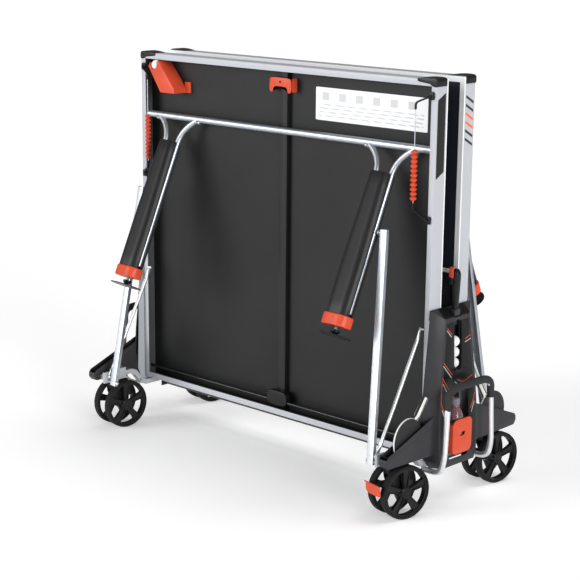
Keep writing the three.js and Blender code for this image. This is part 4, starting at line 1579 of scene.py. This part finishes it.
@dataclass
class EndModule:
    """One end of the chassis: frame, cover, bumper, bottle holder and their trim."""

    hand: Hand
    palette: Palette
    body: str = "chassis"
    hoop_radius: float = 0.0105
    grip_radius: float = 0.0142
    bend: float = 0.058
    hoop_x: float = 0.870
    hoop_top: float = 0.464

    def piece(self, name: str, surfaces: Iterable[Surface], finish: Material,
              **kinds: object) -> bpy.types.Object:
        """Make a piece in the right end's place and mirror it for the left.

        Args:
            name: the piece's name without its end.
            surfaces: its surfaces, where they lie on the right end.
            finish: its material.
            kinds: what else make_piece takes.

        Returns:
            The object.
        """
        return make_piece(f"{name}_{self.hand.word}", [mirrored(s, self.hand) for s in surfaces],
                          finish, self.body, **kinds)

    def build(self) -> None:
        """Dress the nodes and add the trim."""
        word = self.hand.word
        softened(f"end_frame_{word}", self.palette.silver, self.body, 0.0009)
        shell = CoverShell(f"cover_shell_{word}", self.hand).material()
        softened(f"end_cover_{word}", shell, self.body, 0.0016)
        softened(f"bottle_holder_{word}", self.palette.orange, self.body, 0.0012)
        self.bumper()
        self.stripes()
        self.ball_lip()
        self.bolts()

    def bumper(self) -> None:
        """The hoop: one bent tube, with a foam grip over its arch."""
        def arch(front_half: Corners, steps: int) -> Array:
            """A path from its front half: the rear half is the same with y changed in sign."""
            rear_half = [(x, -y, z) for x, y, z in front_half[::-1]]
            return rounded_path([*front_half, *rear_half], self.bend, steps)

        lean = (1.0, 0.9, 1.1)
        shoulder = (self.hoop_x, -0.124, self.hoop_top)
        hoop = arch([(0.773, -0.138, 0.150), (0.855, -0.139, 0.150), (0.872, -0.139, 0.205),
                     (0.871, -0.133, 0.300), shoulder], 12)
        self.piece("bumper_hoop", [swept(hoop, circle(self.hoop_radius, 32), lean)],
                   self.palette.chrome, replaces=[f"bumper_tube_{self.hand.word}"])
        gripped = arch([(self.hoop_x, -0.1262, 0.388), shoulder], 22)
        t = np.linspace(0, 1, len(gripped))
        ends = np.clip(np.minimum(t, 1 - t) / 0.012, 0, 1)
        foam = swept(gripped, circle(self.grip_radius, 32), lean, 0.86 + 0.14 * np.sqrt(ends))
        grip = self.piece("foam_grip", [foam], self.palette.foam)

    def face_x(self, z: Array) -> Array:
        """The x of the cover's front at a height."""
        return COVER_FRONT - z * COVER_SLOPE

    def ribbon(self, points: Corners, width: float) -> Surface:
        """A raised ribbon on the sloping face, a flat oval carried along a smooth path.

        Args:
            points: (y, z) of its corners.
            width: how wide it is.

        Returns:
            The surface.
        """
        yz = np.array(points, float)
        path = np.stack([self.face_x(yz[:, 1]) + 0.0002, yz[:, 0], yz[:, 1]], -1)
        smooth = rounded_path(path, 0.03, 7)
        unit = circle(1.0, 14)
        outline = np.stack([unit[:, 0] * 0.0009, unit[:, 1] * width / 2], -1)
        return swept(smooth, outline, (1.0, 0.02, 0.05))

    def stripes(self) -> None:
        """Plain slanted and curved accent ribbons, orange beside grey."""
        orange = [
            [(-0.062, 0.668), (-0.034, 0.640)],
            [(-0.083, 0.545), (-0.036, 0.493)],
            [(-0.092, 0.492), (-0.030, 0.405)],
            [(0.040, 0.612), (0.074, 0.622)],
            [(-0.006, 0.470), (0.030, 0.452), (0.084, 0.470)],
            [(-0.093, 0.480), (-0.102, 0.395), (-0.076, 0.352)],
            [(0.098, 0.400), (0.090, 0.375), (0.072, 0.345)],
        ]
        grey = [
            [(-0.064, 0.660), (-0.038, 0.632)],
            [(-0.085, 0.534), (-0.040, 0.483)],
            [(-0.088, 0.468), (-0.042, 0.398)],
            [(0.040, 0.600), (0.075, 0.608)],
            [(-0.020, 0.464), (0.010, 0.440)],
            [(-0.094, 0.372), (-0.078, 0.338)],
            [(0.096, 0.368), (0.078, 0.330)],
        ]
        self.piece("cover_ribbon_orange", [self.ribbon(p, 0.0030) for p in orange],
                   self.palette.orange)
        self.piece("cover_ribbon_grey", [self.ribbon(p, 0.0038) for p in grey],
                   self.palette.grey)

    def ball_lip(self) -> None:
        """The lip under the ball slot, a round bead on an arc."""
        arc = np.linspace(-0.9, 0.9, 18)
        path = np.stack([np.full(18, 0.8165), 0.024 * np.sin(arc),
                         0.523 - 0.022 * np.cos(arc)], -1)
        self.piece("ball_lip", [swept(path, circle(0.0034, 16), (1.0, 0.0, 0.0))],
                   self.palette.charcoal)

    def bolts(self) -> None:
        """Caps over the kingpins, and the nuts and screws on the frame's inner side."""
        metal, caps = [], []
        for sy in (-1.0, 1.0):
            caps.append(turned([(0.0135, -0.001), (0.0135, 0.003), (0.011, 0.0052),
                                (0.0001, 0.006)], (KINGPIN_X, sy * KINGPIN_Y, 0.250),
                               (0, 0, 1), 28))
            metal += [fastener(kind, shank, (x, sy * y, z), -X_AXIS) for kind, shank, x, y, z in (
                (Head.NUT, 0.004, 0.7422, 0.150, 0.1755),
                (Head.DOME, 0.004, 0.7438, 0.290, 0.224),
                (Head.DOME, 0.0036, 0.7650, 0.105, 0.715))]
        self.piece("frame_bolts", metal, self.palette.zinc)
        self.piece("kingpin_caps", caps, self.palette.black)


# ------------------------------------------------------------------ casters


@dataclass
class Caster:
    """A twin-wheel caster at one corner, turned on its kingpin by some degrees."""

    where: str
    sign_x: float
    sign_y: float
    degrees: float
    palette: Palette
    radius: float = 0.100
    track: float = 0.0385
    trail: float = 0.015
    spokes: int = 5
    bosses: int = 10

    def placed(self, surface: Surface) -> Surface:
        """Turn a surface about the kingpin and move it to the corner.

        Args:
            surface: a surface with the kingpin on the Z axis.

        Returns:
            The surface in its place.
        """
        a = math.radians(self.degrees)
        turn = np.array([[math.cos(a), -math.sin(a), 0], [math.sin(a), math.cos(a), 0],
                         [0, 0, 1.0]])
        corner = np.array([self.sign_x * KINGPIN_X, self.sign_y * KINGPIN_Y, 0.0])
        return Surface(surface.points @ turn.T + corner, surface.capped, surface.ringed)

    def build(self) -> None:
        """Dress the fork and pedal, and build both wheels."""
        softened(f"{self.where}_caster_fork", self.palette.black, f"{self.where}_caster", 0.0016)
        tyres: list[Surface] = []
        plastics: list[Surface] = []
        for sx in (-1.0, 1.0):
            hub = np.array([sx * self.track, self.trail, self.radius])
            tyres.append(self.placed(self.tyre(hub)))
            plastics.extend(self.placed(s) for s in self.rim_and_spokes(hub, sx))
            outward = sx * X_AXIS
            plastics.append(self.placed(fastener(Head.DOME, 0.0032, hub + outward * 0.0125,
                                                 outward)))
        axle = turned([(0.006, -0.036), (0.006, 0.036)], (0.0, self.trail, self.radius), X_AXIS,
                      20)
        body = f"{self.where}_wheels"
        make_piece(f"{self.where}_tyres", tyres, self.palette.rubber, body,
                   replaces=[f"{self.where}_twin_wheels"], slot="tyre_rubber")
        make_piece(f"{self.where}_rims", plastics, self.palette.black, body)
        make_piece(f"{self.where}_axle", [self.placed(axle)], self.palette.zinc, body)
        if f"{self.where}_brake_pedal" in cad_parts:
            self.pedal()

    def tyre(self, hub: Array) -> Surface:
        """A solid tyre: a rounded band with a step down to the rim on each side.

        Args:
            hub: the wheel's middle.

        Returns:
            The surface.
        """
        r = self.radius
        profile = [(r - 0.0105, -0.0125), (r - 0.0080, -0.0150), (r - 0.0045, -0.0148),
                   (r - 0.0012, -0.0125), (r, -0.0090), (r, -0.003), (r, 0.003), (r, 0.0090),
                   (r - 0.0012, 0.0125), (r - 0.0045, 0.0148), (r - 0.0080, 0.0150),
                   (r - 0.0105, 0.0125)]
        return turned(profile, hub, (1, 0, 0), 96, ringed=True)

    def rim_and_spokes(self, hub: Array, outward: float) -> list[Surface]:
        """Rim, spokes of a web and two ribs each, hub drum and a ring of small bosses.

        Args:
            hub: the wheel's middle.
            outward: +1 or -1, which way the wheel's outer face looks.

        Returns:
            The surfaces.
        """
        rim = turned([(0.0900, -0.0110), (0.0865, -0.0118), (0.0835, -0.0110),
                      (0.0825, 0.0), (0.0835, 0.0110), (0.0865, 0.0118), (0.0900, 0.0110)],
                     hub, (1, 0, 0), 80, ringed=True)
        drum = turned([(0.0001, -0.0125), (0.0165, -0.0125), (0.0205, -0.0108),
                       (0.0215, -0.008), (0.0215, 0.008), (0.0205, 0.0108),
                       (0.0165, 0.0125), (0.0001, 0.0125)], hub, (1, 0, 0), 48)
        parts = [rim, drum]
        t = np.linspace(0, 1, 10)
        web_outline = squircle(0.0050, 0.0105, 6.0, 28)
        rib_outline = squircle(0.0062, 0.0021, 4.0, 20)
        spread = 0.0062 + 0.0088 * t[:, None] ** 1.3
        for i in range(self.spokes):
            angle = i * 2 * math.pi / self.spokes + math.pi / 2
            ray = np.array([0.0, math.cos(angle), math.sin(angle)])
            across = np.array([0.0, -math.sin(angle), math.cos(angle)])
            web = hub + ray * np.linspace(0.017, 0.0855, 10)[:, None]
            parts.append(swept(web, web_outline, X_AXIS, 0.90 + 0.62 * t))
            for side in (-1.0, 1.0):
                rib = web + across * side * spread + X_AXIS * outward * 0.0042
                parts.append(swept(rib, rib_outline, X_AXIS))
        for i in range(self.bosses):
            angle = i * 2 * math.pi / self.bosses
            at = hub + 0.0135 * np.array([0.0, math.cos(angle), math.sin(angle)])
            parts.append(turned([(0.0018, 0.0), (0.0030, 0.0002), (0.0031, 0.0010),
                                 (0.0018, 0.0011)], at + X_AXIS * outward * 0.0122,
                                X_AXIS * outward, 14, ringed=True))
        return parts

    def pedal(self) -> None:
        """The brake pedal: an arm and a pad whose top edge widens and rolls outwards.

        The pad's outline is carried up a curve in the y-z plane. Its half width is
        28 mm + 16 mm sqrt(1 - (1 - t)^2) near the bottom and draws in by 6 mm at the lip, and
        its middle bows forward by 0.9 mm (1 - a^2).
        """
        corners = [(0.0, -0.0950, 0.0985), (0.0, -0.0972, 0.120), (0.0, -0.0985, 0.1370),
                   (0.0, -0.1085, 0.1445)]
        bent = rounded_path(corners, 0.008, 9)
        run = np.concatenate([[0.0], np.cumsum(np.linalg.norm(np.diff(bent, axis=0), axis=1))])
        s = 0.5 - 0.5 * np.cos(np.linspace(0, np.pi, 64))
        path = np.stack([np.interp(s * run[-1], run, bent[:, i]) for i in range(3)], -1)
        low = np.clip(s / 0.26, 0, 1)
        high = np.clip((s - 0.80) / 0.20, 0, 1)
        half = (0.028 + 0.016 * np.sqrt(1 - (1 - low) ** 2)
                - 0.006 * (1 - np.sqrt(np.maximum(1 - high ** 2, 0))))
        ends = np.clip(np.minimum(s, 1 - s) / 0.03, 0.35, 1)
        tangent = np.gradient(path, axis=0)
        tangent /= np.linalg.norm(tangent, axis=1, keepdims=True)
        unit = squircle(1.0, 1.0, 4.0, 40)
        pad = lofted(path, unit, half, 0.0026 * ends, X_AXIS, np.cross(tangent, X_AXIS))
        pad.points -= 0.0025 * 0.35 * (1 - unit[:, :1] ** 2) * Y_AXIS
        arm = slab(squircle(0.0105, 0.0055, 5.0, 28), (0.0, -0.0955, 0.138), Y_AXIS, X_AXIS,
                   0.079, 0.0015)
        make_piece(f"{self.where}_pedal_pad", [self.placed(pad)],
                   self.palette.orange, f"{self.where}_brake",
                   replaces=[f"{self.where}_brake_pedal"], slot="orange_plastic")
        make_piece(f"{self.where}_pedal_arm", [self.placed(arm)], self.palette.black,
                   f"{self.where}_brake")


# ------------------------------------------------------------------ net


@dataclass
class NetSet:
    """The net on its two posts, with tension buttons."""

    palette: Palette
    post_x: float = 0.790
    dome_start: float = 0.850
    dome_height: float = 0.0268
    button_x: float = 0.7825

    def build(self) -> None:
        """Build the sheet with its tape and hem, and both posts.

        The sheet is a grid that sways by 0.6 mm sin(14 x) sin(20 h), h its height on the net.
        """
        low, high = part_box("net")
        body = "net_set"
        rows, columns = 16, 120
        x = np.linspace(low[0], high[0], columns)
        z = np.linspace(low[2] + 0.004, high[2] - 0.006, rows)
        grid_x, grid_z = np.meshgrid(x, z)
        sway = 0.0006 * np.sin(grid_x * 14.0) * np.sin((grid_z - low[2]) * 20.0)
        points = np.stack([grid_x, sway, grid_z], -1).reshape(-1, 3)
        r, c = np.meshgrid(np.arange(rows - 1), np.arange(columns - 1), indexing="ij")
        a = (r * columns + c).ravel()
        faces = np.stack([a, a + 1, a + columns + 1, a + columns], -1)
        mesh = bpy.data.meshes.new("net_sheet")
        mesh.from_pydata(points.tolist(), [], faces.tolist())
        mesh.materials.append(self.palette.net)
        sheet = declared(linked("net_sheet", mesh), body, ["net"])
        edge = squircle(0.0013, 0.0075, 6.0, 24)
        top = np.linspace([low[0], 0, high[2] - 0.0078], [high[0], 0, high[2] - 0.0078], 30)
        tape = make_piece("net_top_tape", [swept(top, edge, (0, 1, 0))], self.palette.tape, body)
        bottom = np.linspace([low[0], 0, low[2] + 0.004], [high[0], 0, low[2] + 0.004], 30)
        hem = make_piece("net_hem", [swept(bottom, squircle(0.0011, 0.0038, 6.0, 20),
                                           (0, 1, 0))], self.palette.black, body)
        for hand in Hand:
            self.post(hand)

    def post(self, hand: Hand) -> None:
        """A rounded post that narrows downwards, its clamp blade, stem, button and arm.

        The button follows the quadratic curve p = (1-s)^2 start + 2 s (1-s) knee + s^2 end.

        Args:
            hand: which end.
        """
        word = hand.word
        dome = np.sin(np.linspace(0.05, np.pi / 2, 12))
        z = np.concatenate([np.linspace(0.737, 0.742, 4), np.linspace(0.745, self.dome_start, 10),
                            self.dome_start + self.dome_height * dome])
        t = np.clip((z - 0.742) / 0.10, 0, 1)
        top = np.clip((z - self.dome_start) / self.dome_height, 0, 1)
        draw = np.sqrt(np.maximum(1 - top ** 2, 0.002))
        path = np.stack([np.full(len(z), self.post_x), np.zeros(len(z)), z], -1)
        body = lofted(path, squircle(1.0, 1.0, 3.2, 44), (0.0115 + 0.0050 * t) * draw,
                      (0.0108 + 0.0038 * t) * draw, X_AXIS, Y_AXIS)
        stem = slab(squircle(0.006, 0.010, 6.0, 32), (self.post_x, 0, 0.668), (0, 0, 1), X_AXIS,
                    0.074, 0.001)
        blade = slab(squircle(0.0078, 0.058, 8.0, 40), (0.7722, -0.0019, 0.803), Y_AXIS,
                     X_AXIS, 0.0038, 0.001)
        surfaces = [mirrored(s, hand) for s in (body, stem, blade)]
        make_piece(f"post_{word}", surfaces, self.palette.black, "net_set",
                   replaces=[f"net_post_{word}"], slot="black_plastic")
        s = np.linspace(0, 1, 26)[:, None]
        start, knee, end = np.array([[self.button_x, -0.0186, 0.842],
                                     [self.button_x, -0.0196, 0.8835],
                                     [self.button_x, -0.0128, 0.8800]])
        curve = (1 - s) ** 2 * start + 2 * s * (1 - s) * knee + s ** 2 * end
        curl = swept(curve, squircle(0.0092, 0.0022, 4.0, 32), X_AXIS)
        arm = slab(squircle(0.0085, 0.0024, 4.0, 28), (self.button_x, -0.0186, 0.8195),
                   (0, 0, 1), X_AXIS, 0.026, 0.001)
        make_piece(f"tension_button_{word}", [mirrored(curl, hand)], self.palette.orange,
                   f"tension_lever_{word}", replaces=[f"net_tension_lever_{word}"])
        make_piece(f"tension_arm_{word}", [mirrored(arm, hand)], self.palette.black,
                   f"tension_lever_{word}")


# ------------------------------------------------------------------ things stored in the ends


@dataclass
class StoredGear:
    """Balls, bottle and bats kept in the right end."""

    palette: Palette
    body: str = "chassis"
    ball_x: float = 0.7915
    ball_start: float = 0.5275
    ball_pitch: float = 0.040
    bottle_x: float = 0.808
    bottle_foot: float = 0.200
    cap_foot: float = 0.3735
    blade_half: Span = (0.0745, 0.0775)

    def build(self) -> None:
        """Build each of them."""
        balls = [ball_surface((self.ball_x, 0.0, self.ball_start + i * self.ball_pitch))
                 for i in range(3)]
        make_piece("three_balls", balls, self.palette.ball, self.body,
                   replaces=["spare_balls"], slot="ball_white")
        self.bottle()
        for name, sign in (("bat_front", -1.0), ("bat_rear", 1.0)):
            self.bat(name, sign)

    def bottle(self) -> None:
        """A ribbed bottle: r = 30.5 mm less a small cosine ripple, a neck, and a knurled cap."""
        z = np.linspace(0.0, 0.118, 90)
        ripple = 0.0011 * (0.5 + 0.5 * np.cos(z * 2 * np.pi / 0.0145))
        foot = 0.0035 * np.exp(-z / 0.004)
        body = list(zip(0.0302 - ripple - foot, z))
        shoulder = [(0.0296, 0.124), (0.0282, 0.132), (0.0255, 0.142), (0.0215, 0.152),
                    (0.0170, 0.160), (0.0138, 0.165), (0.0130, 0.169), (0.0130, 0.175)]
        shell = turned([(0.0001, 0.001), *body, *shoulder, (0.0001, 0.1752)],
                       (self.bottle_x, 0.0, self.bottle_foot), (0, 0, 1), 56)
        make_piece("bottle_shell", [shell], self.palette.bottle, self.body,
                   replaces=["drink_bottle"], slot="bottle_clear")
        t = np.linspace(0, 2 * np.pi, 120, endpoint=False)
        knurl = 0.0151 + 0.00035 * np.sign(np.cos(40 * t))
        level = np.array([[0.0, 0.96], [0.0008, 1.0], [0.0185, 1.0], [0.0215, 0.93],
                          [0.0225, 0.8]])
        rings = np.stack([
            self.bottle_x + level[:, 1:] * knurl * np.cos(t),
            level[:, 1:] * knurl * np.sin(t),
            np.broadcast_to(self.cap_foot + level[:, :1], (5, 120)),
        ], -1)
        make_piece("bottle_cap", [Surface(rings)], self.palette.cap, self.body)

    def bat(self, name: str, sign: float) -> None:
        """A bat: two pimpled sheets on a wooden blade, edge tape and a flared handle.

        Args:
            name: the node it stands for.
            sign: -1 front, +1 rear.
        """
        centre = BAT_PLACE * (1.0, sign, 1.0)
        a = BAT_TILT * sign
        up = np.array([0.0, -math.sin(a), math.cos(a)])
        across = np.array([0.0, math.cos(a), math.sin(a)])
        blade = circle(1.0, 96) * self.blade_half
        sheets = [slab(blade * 0.985, centre + X_AXIS * sx * 0.0031, X_AXIS * sx, across,
                       0.0018, 0.0005) for sx in (-1.0, 1.0)]
        make_piece(f"{name}_rubbers", sheets, self.palette.bat, self.body, replaces=[name],
                   slot="bat_rubber")
        core = slab(blade, centre - X_AXIS * 0.0030, X_AXIS, across, 0.0060, 0.0006)
        make_piece(f"{name}_blade", [core], self.palette.bat_edge, self.body)
        s = np.linspace(0.066, 0.1645, 24)
        flare = np.clip((s - 0.080) / 0.012, 0, 1)
        grow = 0.0115 + 0.0022 * ((s - 0.085) / 0.08) ** 2
        handle = lofted(centre + up * s[:, None], squircle(1.0, 1.0, 2.6, 36),
                        0.0035 + 0.0068 * flare, grow, X_AXIS, across)
        make_piece(f"{name}_handle", [handle], HandleWrap(f"{name}_wrap", sign).material(),
                   self.body)


# ------------------------------------------------------------------ studio


@dataclass
class Studio:
    """Floor, lights and camera."""

    place: tuple[float, float, float] = (4.2507, -4.5694, 2.1188)
    azimuth: float = 44.21
    pitch: float = 14.47
    roll: float = 0.28
    lens: float = 101.1
    shift: Span = (0.0541, 0.0662)
    floor_reach: float = 60.0
    floor_glow: float = 0.34
    surround: float = 0.18

    def build(self) -> None:
        """Build the studio."""
        self.camera()
        self.floor()
        self.world()
        self.sun("key", (-0.45, -0.80, 0.19), 2.45, 34.0)
        self.sun("side", (0.95, -0.25, 0.16), 2.35, 30.0)
        self.sun("top", (0.20, 0.27, 0.94), 1.15, 38.0)

    def camera(self) -> None:
        """Place the camera: turned by its azimuth, tipped down, with a small roll."""
        data = bpy.data.cameras.new("camera")
        data.lens = self.lens
        data.sensor_width = 36.0
        data.shift_x, data.shift_y = self.shift
        data.clip_end = 200.0
        camera = linked("camera", data)
        turn = (Matrix.Rotation(math.radians(self.azimuth), 4, "Z")
                @ Matrix.Rotation(math.radians(90.0 - self.pitch), 4, "X")
                @ Matrix.Rotation(math.radians(self.roll), 4, "Z"))
        camera.matrix_world = Matrix.Translation(Vector(self.place)) @ turn
        bpy.context.scene.camera = camera

    def floor(self) -> None:
        """A wide pale floor with a faint polish."""
        g = Graph("studio_floor")
        clouds = g.noise(0.6, 3.0)
        colour = g.blend(clouds, (0.90, 0.90, 0.903), (0.92, 0.92, 0.923))
        finish = g.finish(colour, 0.6 + clouds * 0.05, fixed={
            "Emission Color": (1.0, 1.0, 1.0, 1.0), "Emission Strength": self.floor_glow})
        mesh = bpy.data.meshes.new("floor")
        r = self.floor_reach
        mesh.from_pydata([(-r, -r, 0), (r, -r, 0), (r, r, 0), (-r, r, 0)], [], [(0, 1, 2, 3)])
        mesh.materials.append(finish)
        linked("floor", mesh)

    def world(self) -> None:
        """Plain white surroundings."""
        world = bpy.data.worlds.new("studio")
        bpy.context.scene.world = world
        world.use_nodes = True
        background = world.node_tree.nodes["Background"]
        background.inputs[0].default_value = (1.0, 1.0, 1.0, 1.0)
        background.inputs[1].default_value = self.surround
        bpy.context.scene.view_settings.view_transform = "Standard"

    def sun(self, name: str, towards: Sequence[float], power: float, degrees: float) -> None:
        """A broad, far lamp whose shadows are soft.

        Args:
            name: the lamp's name.
            towards: the direction from the table to the lamp.
            power: its strength.
            degrees: how wide it looks from the table.
        """
        data = bpy.data.lights.new(name, "SUN")
        data.energy = power
        data.angle = math.radians(degrees)
        lamp = linked(name, data)
        lamp.rotation_euler = Vector(towards).to_track_quat("Z", "Y").to_euler()
        lamp.location = (0.0, 0.0, 4.0)


def main() -> None:
    """Build the classes in order and report each piece."""
    logging.basicConfig(level=logging.INFO, format="%(message)s")
    Studio().build()
    palette = Palette()
    redress("cross_beam", palette.black_steel)
    for side in Side:
        Half(side, palette).build()
    for hand in Hand:
        EndModule(hand, palette).build()
    for where, sign_x, sign_y, degrees in (
        ("front_right", 1.0, -1.0, -14.0),
        ("front_left", -1.0, -1.0, -6.0),
        ("rear_right", 1.0, 1.0, -9.0),
        ("rear_left", -1.0, 1.0, 171.0),
    ):
        Caster(where, sign_x, sign_y, degrees, palette).build()
    NetSet(palette).build()
    StoredGear(palette).build()


if __name__ == "__main__":
    main()
